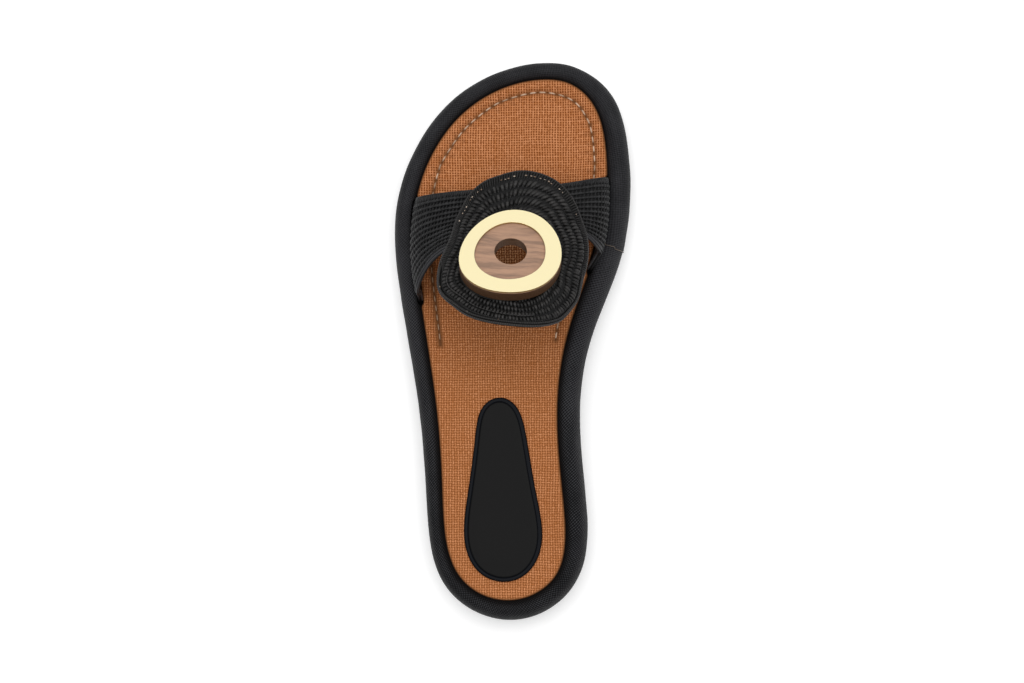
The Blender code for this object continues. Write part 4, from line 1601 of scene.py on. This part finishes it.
    def sew(self) -> Piece:
        """The stitches: short capped threads, one at each pitch along the channel, dipping at their ends."""
        stations, line, along = self.stitch_line()
        centre = np.arange(self.first_stitch, along[-1] - 1.0, self.stitch_pitch)
        share = np.linspace(-0.5, 0.5, 7)
        place_along = centre[:, None] + share * self.stitch_length
        x, y = (np.interp(place_along, along, line[:, k]) for k in (0, 1))
        arch = 1.0 - (2.0 * share) ** 4
        z = self.sole.bed_height(x, y) - self.channel_depth * 0.8 + 0.5 * arch
        taper = self.stitch_radius * (0.55 + 0.45 * arch)
        up = np.broadcast_to([0.0, 0.0, 1.0], (*x.shape, 3))
        steady = window(np.interp(centre, along, stations), *self.furrow, 6.0)
        tones = np.random.default_rng(31).uniform(0.0, 1.0, len(centre)) * (1.0 - steady) - 0.25 * steady
        taper = taper * (1.0 - 0.25 * steady[:, None])
        shape = strands(np.dstack([x, y, z]), up, taper, taper, 6, tones)
        return make_object("insole_stitches", shape, self.thread_finish.make())

    def dress(self) -> None:
        """Fix the cover and its stitches to the sandal."""
        place(self.cover, Slot.WEAVE, ("insole",), fill=0.9)
        place(self.stitches, Slot.WEAVE)


@dataclass
class HeelPad:
    """Smooth teardrop leather pad: a low border steps up to its face, which is left bare."""

    sole: SoleForm
    finish: LeatherFinish = LeatherFinish()
    middle: float = -68.2
    half_length: float = 41.8
    border: float = 1.7
    stations: int = 480
    # Columns: station, lateral x, medial x.
    sections: Table = (
        (0, -3.2, -3.2), (30, -15.8, 8.9), (60, -21.4, 14.2), (90, -19.5, 11.1), (120, -16.8, 7.5),
        (150, -13.8, 3.3), (180, -5.2, -5.2),
    )
    # Columns: inset, height above the insole.
    profile: Table = (
        (0.0, 0.0), (0.02, 0.45), (0.2, 0.82), (0.5, 1.02), (0.9, 1.08), (1.5, 1.04), (1.75, 1.10),
        (2.0, 1.36), (2.25, 1.55), (2.6, 1.62), (3.4, 1.64), (5.0, 1.66),
    )

    def build(self) -> None:
        """Model the pad: the profile carried round its outline, and its face closed to the middle."""
        station = around(self.stations)
        x = all_round(*columns(self.sections))(station)
        y = self.middle - self.half_length * np.cos(np.radians(station))
        rail = rail_of(np.stack([x, y], axis=1), np.ones(self.stations))
        knots, heights = columns(self.profile)
        inset = np.concatenate([[0.0, 0.02], np.linspace(0.1, knots[-1], 36)])
        height = np.interp(inset, knots, heights)
        plan = rail.moved_in(0.0, inset)
        face = towards_middle(plan[:, -1], np.linspace(1.0, 0.0, 8)[1:])
        base = towards_middle(plan[:, 0], np.linspace(0.0, 1.0, 4)[:-1])
        flat = np.concatenate([base, plan, face], axis=1)
        rise = np.concatenate([np.zeros(3), height, np.full(7, height[-1])])
        z = self.sole.bed_height(flat[..., 0], flat[..., 1]) + GAP + rise
        shape = body_of(rail, np.dstack([flat, z]))
        border = 1.0 - smooth_step((inset - self.border) / 0.8)
        shape = replace(shape, shades=marked(rail, shape, base.shape[1], border))
        self.pad = make_object("leather_heel_pad", shape, self.finish.make(), weld=True)

    def dress(self) -> None:
        """Fix the pad to the sandal."""
        place(self.pad, Slot.LEATHER, ("heel_pad",), fill=0.9)


@dataclass(frozen=True)
class Stitches:
    """How one kind of stitch is laid on a patch, in millimetres.

    Out is the height of its middle above the patch, dip is how much lower its ends lie, and taper is
    the share of its size that is gone there. It has so many sides round it, and steps along it.
    """

    pitch: float
    half_width: float
    half_height: float
    out: float
    dip: float = 0.3
    sides: int = 6
    steps: int = 5
    taper: float = 0.3

    def lay(self, patch: Patch, start: Pair, end: Pair, random: Random,
            tones: Span = (0.0, 1.0), widths: Amount = 1.0) -> Shape:
        """Strands from start to end on a patch, arched by a root of a sine and a little uneven.

        Args:
            patch: The surface that they lie on.
            start: Shares u and v of their starts.
            end: Shares u and v of their ends.
            random: Source of their unevenness.
            tones: Lowest and highest tone.
            widths: Factor on each strand's width.

        Returns:
            The strands.
        """
        count = len(start[0])
        share = np.linspace(0.0, 1.0, self.steps)
        u = start[0][:, None] + (end[0] - start[0])[:, None] * share
        v = start[1][:, None] + (end[1] - start[1])[:, None] * share
        arch = np.sin(math.pi * share) ** 0.6
        lift = random.uniform(-0.08, 0.08, count)[:, None]
        size = random.uniform(0.9, 1.08, count)[:, None]
        centres = patch.at(u, v, self.out - self.dip * (1.0 - arch) + lift)
        swell = size * (1.0 - self.taper * (1.0 - arch))
        wide = np.broadcast_to(widths, count)[:, None]
        return strands(centres, patch.normal(u, v), self.half_width * swell * wide, self.half_height * swell,
                       self.sides, random.uniform(*tones, count))


@dataclass
class Strap:
    """The woven band over the instep: rows of short uprights between chained ridges, on a thin backing."""

    upper: UpperForm
    finish: CordFinish = CordFinish("strap_cord", (0.0068, 0.0068, 0.0071), (0.0210, 0.0210, 0.0220))
    # Painted highlight: the rear edge's smooth cords get a lighter finish than the other cords.
    lit_edge_finish: CordFinish = CordFinish(
        "edge_cord", (0.010, 0.010, 0.0110), (0.042, 0.042, 0.046), (0.014, 0.014, 0.015)
    )
    # Painted shade: the backing is near black, standing for the shade seen between the stitches.
    backing_shade: CordFinish = CordFinish("backing_painted_shade", (0.002, 0.002, 0.002), (0.004, 0.004, 0.004))
    rows: int = 13
    widest_row: float = 2.85
    bunching: float = 2.2
    lines: int = 420
    backing_low: float = 0.4
    backing_high: float = 0.95
    ridge: Stitches = Stitches(1.72, 0.30, 0.50, 1.80, 0.40, 6, 5, 0.35)
    upright: Stitches = Stitches(1.72, 0.34, 0.36, 1.50, 0.1, 6, 4, 0.1)
    inside: Stitches = Stitches(1.3, 0.5, 0.28, 0.42, 0.1, 5, 4)
    edge: Stitches = Stitches(1.1, 0.52, 0.42, 1.45, 0.6, 6, 6)
    chain_overlap: float = 0.05
    lean: float = 0.08
    edge_share: float = 0.035
    # Columns: share across, height, radius, tone.
    light_cords: Table = (
        (0.006, 1.42, 0.42, 1.0), (0.030, 1.80, 0.40, 0.7),
    )
    dark_cords: Table = (
        (0.985, 1.15, 0.62, 0.2), (0.008, 0.62, 0.44, 0.0), (0.028, 0.60, 0.40, 0.0),
        (0.052, 1.62, 0.46, 0.2),
    )
    # Tones above 1 are painted light on the tucked ends' cords.
    tail_cords: Table = (
        (0.010, 0.02, 0.42, 1.6), (0.033, 0.02, 0.40, 1.3), (0.056, 0.02, 0.42, 0.5),
    )
    tail_length: float = 0.135

    def build(self) -> None:
        """Model the backing, the ridges and uprights of both faces, and the two edges."""
        face = self.upper.strap_face(np.linspace(1.0, 0.0, 61))
        self.patch = Patch(evenly(face, self.lines, by_column=30))
        finish = self.finish.make()
        self.pieces = [
            make_object("strap_backing", self.make_backing(), self.backing_shade.make()),
            make_object("strap_rows", self.make_rows(), finish),
            make_object("strap_inner_rows", self.make_inner_rows(), finish),
            make_object("strap_edges", self.make_edges(), finish),
            make_object("strap_edge_cords", self.make_edge_cords(), self.lit_edge_finish.make()),
        ]

    def make_backing(self) -> Shape:
        """Thin wall between two heights over the patch, a little inside its edges."""
        u = np.linspace(0.0, 1.0, self.lines)[:, None]
        v = np.linspace(0.01, 0.99, 40)[None, :]
        return toned(wall(self.patch.at(u, v, self.backing_high), self.patch.at(u, v, self.backing_low)), 0.0)

    def across(self, row: Array, u: Array) -> Array:
        """Share across of a row's boundary, from 0 at the rear edge: (1 - row / rows) to a power.

        Next to the front edge the rows are as wide everywhere as they are at the band's feet, and
        where the band is narrower the power bunches the others at the rear edge.

        Args:
            row: Number of rows between the boundary and the front edge.
            u: Share along the band.

        Returns:
            The share across.
        """
        power = np.clip(self.rows * self.widest_row / self.patch.breadth(u), 1.0, self.bunching)
        inner = np.maximum(1.0 - row / self.rows, 0.0) ** power
        return self.edge_share + (1.0 - 2.0 * self.edge_share) * inner

    def end(self, row: Array, u: Array) -> Pair:
        """Shares of a stitch's end on a row's boundary."""
        return u, self.across(row, u)

    def steps_along(self, stitch: Stitches) -> Array:
        """Shares along the band, one for each stitch."""
        return evenly_along(int(self.patch.length / stitch.pitch))

    def every(self, stitch: Stitches, rows: Array) -> Pair:
        """Share along and row of every stitch in several rows."""
        u, row = np.meshgrid(self.steps_along(stitch), rows, indexing="ij")
        return u.ravel(), row.ravel()

    def uprights(self, stitch: Stitches, lean: float, random: Random, top_tone: float,
                 low_tone: float = 0.0) -> Shape:
        """Strands from boundary to boundary in all rows.

        Args:
            stitch: The kind of stitch.
            lean: How far each end leans along the band, as a share of the pitch.
            random: Source of unevenness.
            top_tone: Highest tone.
            low_tone: Lowest tone.

        Returns:
            The strands.
        """
        u, row = self.every(stitch, np.arange(self.rows))
        reach = lean * stitch.pitch / self.patch.length
        return stitch.lay(self.patch, self.end(row + 1, u - reach), self.end(row, u + reach), random,
                          (low_tone, top_tone))

    def make_rows(self) -> Shape:
        """Outer face: a chain of beads on each boundary, and an upright from boundary to boundary."""
        random = np.random.default_rng(41)
        u, row = self.every(self.ridge, np.arange(1, self.rows))
        reach = self.ridge.pitch * (0.5 + self.chain_overlap) / self.patch.length
        width = (self.across(row - 0.5, u) - self.across(row + 0.5, u)) * self.patch.breadth(u)
        beads = self.ridge.lay(self.patch, self.end(row, u - reach), self.end(row, u + reach), random,
                               (0.1, 0.9), width)
        return joined([beads, self.uprights(self.upright, self.lean, random, 0.6)])

    def make_inner_rows(self) -> Shape:
        """Inner face: plain slanted strands in the same rows."""
        flipped = replace(self.inside, dip=-self.inside.dip)
        return self.uprights(flipped, 0.5, np.random.default_rng(43), 0.7, 0.1)

    def make_edges(self) -> Shape:
        """Front edge overcast with short strands over a cord, and the dark cords of the rear edge."""
        u = self.steps_along(self.edge)
        lean = 0.35 * self.edge.pitch / self.patch.length
        full = np.ones_like(u)
        front = self.edge.lay(self.patch, (u - lean, full * (1.0 - 2.3 * self.edge_share)),
                              (u + lean, full * 0.998), np.random.default_rng(47), (0.2, 0.9))
        return joined([front] + [self.edge_cord(*row) for row in self.dark_cords])

    def make_edge_cords(self) -> Shape:
        """The light smooth cords of the rear edge, and those on the inner face of both tucked ends, lightened
        as painted highlight.
        """
        ends = ((0.0, self.tail_length), (1.0 - self.tail_length, 1.0))
        return joined([self.edge_cord(*row) for row in self.light_cords]
                      + [self.edge_cord(*row, end) for row in self.tail_cords for end in ends])

    def edge_cord(self, share: float, out: float, radius: float, tone: float,
                  reach: Span = (0.0, 1.0)) -> Shape:
        """Smooth cord along a stretch of the band, at one share across it."""
        u = np.linspace(*reach, 360)
        return toned(cord(self.patch.at(u, share, out), self.patch.normal(u, share), radius, 8), tone)

    def dress(self) -> None:
        """Fix the band to the sandal."""
        place_all(self.pieces, Slot.STRAP, "strap")


@dataclass
class Plaque:
    """Round plaque of slanted stitches in rings, over the band and under the disc.

    Along each ray from the disc's middle, w is 0 at the border and 1 at the disc's edge, by length on
    the surface.
    """

    upper: UpperForm
    finish: CordFinish = CordFinish("plaque_cord", (0.0060, 0.0057, 0.0056), (0.0335, 0.0318, 0.0310))
    # Painted shade: the backing is near black, standing for the shade seen between the stitches.
    backing_shade: CordFinish = CordFinish("plaque_backing_painted_shade", (0.002, 0.002, 0.002), (0.004, 0.004, 0.004))
    bead_finish: CordFinish = CordFinish(
        "bead_thread", (0.16, 0.10, 0.065), (0.56, 0.48, 0.40), (0.06, 0.04, 0.03)
    )
    base_out: float = 2.9
    backing_low: float = 0.4
    backing_high: float = 1.15
    seat_from: float = 1.02
    seat_high: float = 2.5
    rays: int = 720
    # Columns: clock angle, radius in plan.
    outline: Table = (
        (0, 30.0), (20, 32.7), (40, 37.2), (60, 42.8), (75, 44.3), (88, 43.8), (97, 42.4), (107, 41.2),
        (120, 38.0), (135, 32.9), (150, 29.0), (165, 28.0), (180, 28.9), (190, 29.5), (200, 30.0),
        (208, 29.5), (218, 28.6), (235, 28.6), (255, 28.6), (275, 29.5), (290, 31.4), (303, 32.2),
        (315, 30.8), (323, 30.1), (331, 29.8), (341, 29.2), (350, 29.2),
    )
    hidden_share: float = 0.56
    deepest_w: float = 1.12
    # Columns: clock angle, row width, slant in degrees, stitch pitch, border width.
    row_sizes: Table = (
        (0, 3.05, 8, 1.80, 2.8), (20, 3.2, 13, 1.80, 3.0), (40, 3.5, 30, 1.80, 3.4),
        (60, 3.8, 32, 1.85, 3.8), (75, 4.0, 30, 1.95, 4.1), (90, 4.1, 9, 2.00, 4.3),
        (105, 4.0, -4, 1.95, 4.2), (125, 3.7, -34, 1.85, 3.9), (150, 3.1, -15, 1.75, 3.6),
        (180, 2.6, 0, 1.65, 3.3), (210, 2.5, 0, 1.60, 2.8), (240, 2.6, 0, 1.55, 2.6),
        (270, 2.7, -8, 1.55, 2.6), (285, 2.8, -12, 1.50, 2.5), (300, 3.0, 8, 1.40, 2.4),
        (325, 3.1, 20, 1.40, 2.4), (345, 3.0, 14, 1.60, 2.5),
    )
    stitch: Stitches = Stitches(1.0, 0.46, 0.50, 1.95, 0.80, 6, 6, 0.40)
    row_gap: float = 0.12
    inside: Stitches = Stitches(1.0, 0.33, 0.3, 0.42, 0.0, 5, 4)
    chain: Stitches = Stitches(1.0, 0.36, 0.38, 2.42, 0.4, 6, 5, 0.5)
    chain_tones: Span = (0.7, 1.5)
    # The outer rope's tone above 1 is a painted highlight.
    rope_tones: Span = (1.2, 0.6)
    chained: Span = (188.0, 292.0)
    chain_row: float = 1.0
    overcast: Stitches = Stitches(1.05, 0.46, 0.36, 1.6, 0.6, 6, 6, 0.3)
    knot: Stitches = Stitches(1.7, 0.27, 0.27, 2.0, 0.1, 6, 5)
    bead_share: float = 0.68
    beaded: Span = (25.0, 335.0)
    many_beads: Span = (56.0, 130.0)
    rarely: float = 0.02
    often: float = 0.75
    roped: Span = (190.0, 345.0)
    rope: float = 0.48
    rope_in_front: float = 0.40
    second_rope: float = 1.55

    def rays_between(self) -> Pair:
        """Plan points of the disc's edge and of the border, along each ray."""
        angle = around(self.rays)
        turn = np.radians(angle)
        foreshortened = self.upper.foreshortened
        flat_angle = np.arctan2(np.sin(turn) / foreshortened, np.cos(turn))
        under_disc = Curve(*columns(self.upper.ring), 360.0)(np.degrees(flat_angle))
        flat_ray = np.stack([np.cos(flat_angle), np.sin(flat_angle) * foreshortened], axis=1)
        border = Curve(*columns(self.outline), 360.0)(angle)
        ray = np.stack([np.cos(turn), np.sin(turn)], axis=1)
        return flat_ray * under_disc[:, None], ray * border[:, None]

    def sampled(self) -> Patch:
        """The plaque's inner face, its columns evenly spaced by length on the surface, w from 0 to w_end."""
        inner, outer = self.rays_between()
        middle = np.array([self.upper.disc_x, self.upper.disc_y])
        share = np.linspace(0.0, 1.0, 81)[:, None]
        visible = outer[:, None] + (inner - outer)[:, None] * share
        hidden = inner[:, None] * (1.0 - share[1:] * (1.0 - self.hidden_share))
        plan = middle + np.concatenate([visible, hidden], axis=1)
        surface = self.upper.above(plan, self.base_out)
        step = np.linalg.norm(np.diff(surface, axis=1), axis=2)
        length = np.concatenate([np.zeros((self.rays, 1)), np.cumsum(step, axis=1)], axis=1)
        self.visible_length = length[:, 80]
        w = length / self.visible_length[:, None]
        self.w_end = float(w[:, -1].min())
        target = np.linspace(0.0, self.w_end, 97)
        ray = np.arange(self.rays)[:, None]
        spread = 10.0
        position = np.interp((target + ray * spread).ravel(), (w + ray * spread).ravel(),
                             np.broadcast_to(np.arange(w.shape[1]), w.shape).ravel())
        position = position.reshape(self.rays, -1)
        low = np.minimum(position.astype(int), w.shape[1] - 2)
        part = (position - low)[..., None]
        return Patch(surface[ray, low] * (1.0 - part) + surface[ray, low + 1] * part, closed=True)

    def build(self) -> None:
        """Model the backing, the rings of stitches on both faces, the borders and the beads."""
        self.patch = self.sampled()
        finish = self.finish.make()
        self.pieces = [
            make_object("plaque_backing", self.make_backing(), self.backing_shade.make()),
            make_object("plaque_rings", self.make_rings(), finish),
            make_object("plaque_under_rings", self.make_under_rings(), finish),
            make_object("plaque_border", self.make_border(), finish),
            make_object("plaque_beads", self.make_beads(), self.bead_finish.make()),
        ]

    def make_backing(self) -> Shape:
        """Thin wall all round, from a little inside the border to the hidden hole, thicker under the disc."""
        u = around(self.rays, 1.0)[:, None]
        walls = (
            (np.linspace(0.012, 1.0, 44), self.backing_high, self.backing_low),
            (np.linspace(self.seat_from / self.w_end, 1.0, 8), self.seat_high, self.backing_high + 0.1),
        )
        at = self.patch.at
        shapes = [wall(at(u, v, high), at(u, v, low), closed=True) for v, high, low in walls]
        return toned(joined(shapes), 0.0)

    def per_ray(self, column: int, u: Array) -> Array:
        """A column of the row table at shares u round the plaque."""
        table = columns(self.row_sizes)
        return Curve(table[0], table[column], 360.0)(u * 360.0)

    def row_w(self, row: Amount, u: Array) -> Array:
        """A row's outer boundary: the border band is row -1, and the rows count inwards from 0.

        Args:
            row: The row's number, or a place between rows.
            u: Shares round the plaque.

        Returns:
            The boundary's w at each.
        """
        lengths = np.append(self.visible_length, self.visible_length[0])
        length = np.interp(u % 1.0, np.arange(self.rays + 1) / self.rays, lengths)
        border = self.per_ray(4, u) * np.minimum(row + 1.0, 1.0)
        return (border + np.maximum(row, 0.0) * self.per_ray(1, u)) / length

    def end(self, row: Amount, u: Array) -> Pair:
        """Shares of a stitch's end on a row's outer boundary."""
        return u, self.row_w(row, u) / self.w_end

    def round_row(self, row: float) -> Pair:
        """Shares round the plaque and the running length at them, along one row number."""
        u = np.arange(self.rays + 1) / self.rays
        return u, running_length(self.patch.at(u % 1.0, self.row_w(row, u) / self.w_end, 0.0))

    def paced(self, row: float, pitch: float, random: Random) -> tuple[Array, float]:
        """Where a row's stitches stand.

        The number of stitches up to a place is the sum of length / (pitch · the table's pitch there).

        Args:
            row: The row's number, or a place between rows.
            pitch: Factor on the table's pitch.
            random: Source of unevenness.

        Returns:
            Their shares round the plaque, and the row's length.
        """
        u, along = self.round_row(row)
        local = pitch * self.per_ray(3, (u[1:] + u[:-1]) / 2.0)
        number = np.concatenate([[0.0], np.cumsum(np.diff(along) / local)])
        count = int(number[-1])
        at = np.interp((np.arange(count) + 0.5) * number[-1] / count, number, u)
        return at + random.uniform(-0.12, 0.12, count) * self.per_ray(3, at) / along[-1], float(along[-1])

    def ring_of(self, stitch: Stitches, row: int, face: float, random: Random) -> Shape:
        """One ring of slanted stitches between a row's boundaries.

        Args:
            stitch: The kind of stitch, its pitch and width as factors on the table's pitch.
            row: The row's number from the border inwards.
            face: 1 for slants seen on the outer face, and -1 for mirrored ones.
            random: Source of unevenness.

        Returns:
            The ring's strands, without those deep under the disc.
        """
        u, length = self.paced(row + 0.5, stitch.pitch, random)
        u = u[self.row_w(row + 0.2, u) < self.last_w()]
        slant = self.per_ray(2, u) + random.uniform(-6.0, 6.0, len(u))
        lean = face * np.tan(np.radians(slant)) * self.per_ray(1, u) / length / 2.0
        outer = self.end(row + self.row_gap + random.uniform(-0.05, 0.05, len(u)), u - lean)
        inner = self.end(row + 1.0 - self.row_gap, u + lean)
        return stitch.lay(self.patch, outer, inner, random, (0.05, 1.0), self.per_ray(3, u))

    def last_w(self) -> float:
        """The w beyond which no stitch starts, a little under the disc's edge."""
        return min(self.deepest_w, self.w_end - 0.04)

    def row_count(self) -> int:
        """How many rows start in sight somewhere round the plaque."""
        u = around(self.rays, 1.0)
        return next(row for row in range(20) if self.row_w(row + 0.3, u).min() > self.last_w())

    def make_chain(self, random: Random) -> Shape:
        """Light chain on one row's outer boundary, over the rear of the plaque.

        Args:
            random: Source of unevenness.

        Returns:
            The chain.
        """
        row = self.chain_row
        u, length = self.paced(row, self.chain.pitch, random)
        u = u[(u * 360.0 > self.chained[0]) & (u * 360.0 < self.chained[1])]
        u = u[self.row_w(row, u) < 1.0]
        reach = 0.52 * self.per_ray(3, u) / length
        return self.chain.lay(self.patch, self.end(row, u - reach), self.end(row, u + reach), random,
                              self.chain_tones)

    def make_rings(self) -> Shape:
        """Outer face: rings of slanted stitches, from the border band to under the disc."""
        random = np.random.default_rng(51)
        rings = [self.ring_of(self.stitch, row, 1.0, random) for row in range(self.row_count())]
        return joined([*rings, self.make_chain(random)])

    def make_under_rings(self) -> Shape:
        """Inner face: the same rings, with plainer stitches."""
        random = np.random.default_rng(53)
        return joined([self.ring_of(self.inside, row, -1.0, random) for row in range(self.row_count())])

    def make_border(self) -> Shape:
        """Border band: fine overcast strands square to the edge in front, and two cords at the rear."""
        u = around(self.rays, 1.0)
        at_rear = window(u * 360.0, *self.roped, 14.0)
        radius = self.rope_in_front + (self.rope - self.rope_in_front) * at_rear
        cords = (
            (radius, 1.25, radius, self.rope_tones[0]),
            (self.second_rope, 1.2 + 0.55 * at_rear, self.rope * (0.3 + 0.7 * at_rear), self.rope_tones[1]),
        )
        shapes = []
        for inset, out, thickness, tone in cords:
            v = inset / self.visible_length / self.w_end
            rope = cord(self.patch.at(u, v, out), self.patch.normal(u, v), thickness, 10, closed=True)
            shapes.append(toned(rope, tone))
        length = self.round_row(-1.0)[1][-1]
        at = evenly_along(int(length / self.overcast.pitch))
        in_front = 1.0 - np.interp(at, u, at_rear)
        start = 0.004 + (1.0 - in_front) * 2.2 / np.interp(at, u, self.visible_length)
        lean = 0.3 * self.overcast.pitch / length
        finish = self.row_w(-0.06, at) / self.w_end
        shapes.append(self.overcast.lay(self.patch, (at - lean, start), (at + lean, finish),
                                        np.random.default_rng(57), (0.0, 0.3)))
        return joined(shapes)

    def make_beads(self) -> Shape:
        """Small light knots along the border band: many in front, and few elsewhere."""
        random = np.random.default_rng(59)
        length = self.round_row(-0.5)[1][-1]
        u = np.arange(*self.beaded, 360.0 * self.knot.pitch / length) / 360.0
        chance = self.rarely + (self.often - self.rarely) * window(u * 360.0, *self.many_beads, 5.0)
        keep = random.uniform(0.0, 1.0, len(u)) < chance
        u = u[keep] + random.uniform(-0.4, 0.4, int(keep.sum())) / length
        w = self.row_w(self.bead_share - 1.0 + random.uniform(-0.06, 0.06, len(u)), u) / self.w_end
        size = random.uniform(0.6, 1.15, len(u))
        reach = 0.40 * size / length
        return self.knot.lay(self.patch, (u - reach, w), (u + reach, w), random, (0.0, 1.0), size)

    def dress(self) -> None:
        """Fix the plaque to the sandal."""
        place_all(self.pieces, Slot.PLAQUE, "plaque")


# ---------- Studio ----------


@dataclass(frozen=True)
class Softbox:
    """One rectangular light: its place and size in metres, and its power in watts."""

    name: str
    position: Triple
    size: Span
    power: float

    def set_up(self, target: Vector) -> None:
        """Make the light.

        Args:
            target: What it is aimed at, in metres.
        """
        light = bpy.data.lights.new(self.name, "AREA")
        light.shape = "RECTANGLE"
        light.size, light.size_y = self.size
        light.energy = self.power
        lamp = new_object(self.name, light)
        lamp.location = self.position
        lamp.rotation_euler = (target - lamp.location).to_track_quat("-Z", "Y").to_euler()


@dataclass
class Studio:
    """Pale floor, soft lights and the camera over the sandal."""

    target: Triple = (-0.25, -0.46, 12.0)
    distance: float = 1000.0
    tilt_x: float = 4.3
    tilt_y: float = -2.75
    scale: float = 2.175
    image_width: float = 1024.0
    sensor: float = 36.0
    floor_size: float = 6.0
    floor_color: Triple = (0.96, 0.96, 0.96)
    floor_glow: float = 0.20
    white: Triple = (1.0, 1.0, 1.0)
    world_strength: float = 0.42
    softboxes: tuple[Softbox, ...] = (
        Softbox("key", (0.12, 0.22, 1.62), (2.0, 1.6), 25.5),
        Softbox("beyond_toe", (0.15, 1.4, 0.65), (2.0, 0.8), 3.1),
    )

    def build(self) -> None:
        """Set up floor, world, lights and camera."""
        self.make_floor()
        self.make_world()
        for softbox in self.softboxes:
            softbox.set_up(Vector(self.target) * MM)
        self.make_camera()
        bpy.context.scene.view_settings.view_transform = "Standard"

    def make_floor(self) -> None:
        """One large pale sheet on Z = 0, glowing a little, as a light table does."""
        half = self.floor_size / 2.0
        mesh = bpy.data.meshes.new("floor")
        corners = [(-half, -half, 0.0), (half, -half, 0.0), (half, half, 0.0), (-half, half, 0.0)]
        mesh.from_pydata(corners, [], [(0, 1, 2, 3)])
        nodes = Nodes("floor_paper", 0.9, specular=0.1)
        nodes.set(base_color=self.floor_color, emission_color=self.white, emission_strength=self.floor_glow)
        mesh.materials.append(nodes.material)
        new_object("floor", mesh)

    def make_world(self) -> None:
        """Even white surroundings."""
        world = bpy.data.worlds.new("studio")
        world.use_nodes = True
        background = world.node_tree.nodes["Background"]
        background.inputs["Color"].default_value = (*self.white, 1.0)
        background.inputs["Strength"].default_value = self.world_strength
        bpy.context.scene.world = world

    def make_camera(self) -> None:
        """Camera above the sandal, leaning a little to its inner side and heel, with +Y up."""
        data = bpy.data.cameras.new("camera")
        data.sensor_width = self.sensor
        data.lens = self.sensor * self.distance * self.scale / self.image_width
        data.clip_end = 20.0
        camera = new_object("camera", data)
        lean = Vector((math.tan(math.radians(self.tilt_x)), math.tan(math.radians(self.tilt_y)), 1.0))
        away = lean.normalized()
        up = (Vector((0.0, 1.0, 0.0)) - away * away.y).normalized()
        camera.location = (Vector(self.target) + away * self.distance) * MM
        camera.rotation_euler = Matrix((up.cross(away), up, away)).transposed().to_euler()
        bpy.context.scene.camera = camera


def main() -> None:
    """Build the sandal's sub-assemblies in order, then the studio."""
    logging.basicConfig(level=logging.INFO, format="%(name)s: %(message)s")
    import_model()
    sole = SoleForm()
    upper = UpperForm(sole)
    sub_assemblies = (
        Packed("outsole", RubberFinish()),
        Footbed(sole, upper),
        Insole(sole, upper),
        HeelPad(sole),
        Strap(upper),
        Plaque(upper),
        Packed("wood_disc", WalnutFinish(upper)),
        Packed("gold_ring", GiltFinish(upper)),
    )
    for sub_assembly in sub_assemblies:
        sub_assembly.build()
        sub_assembly.dress()
    Studio().build()


if __name__ == "__main__":
    main()
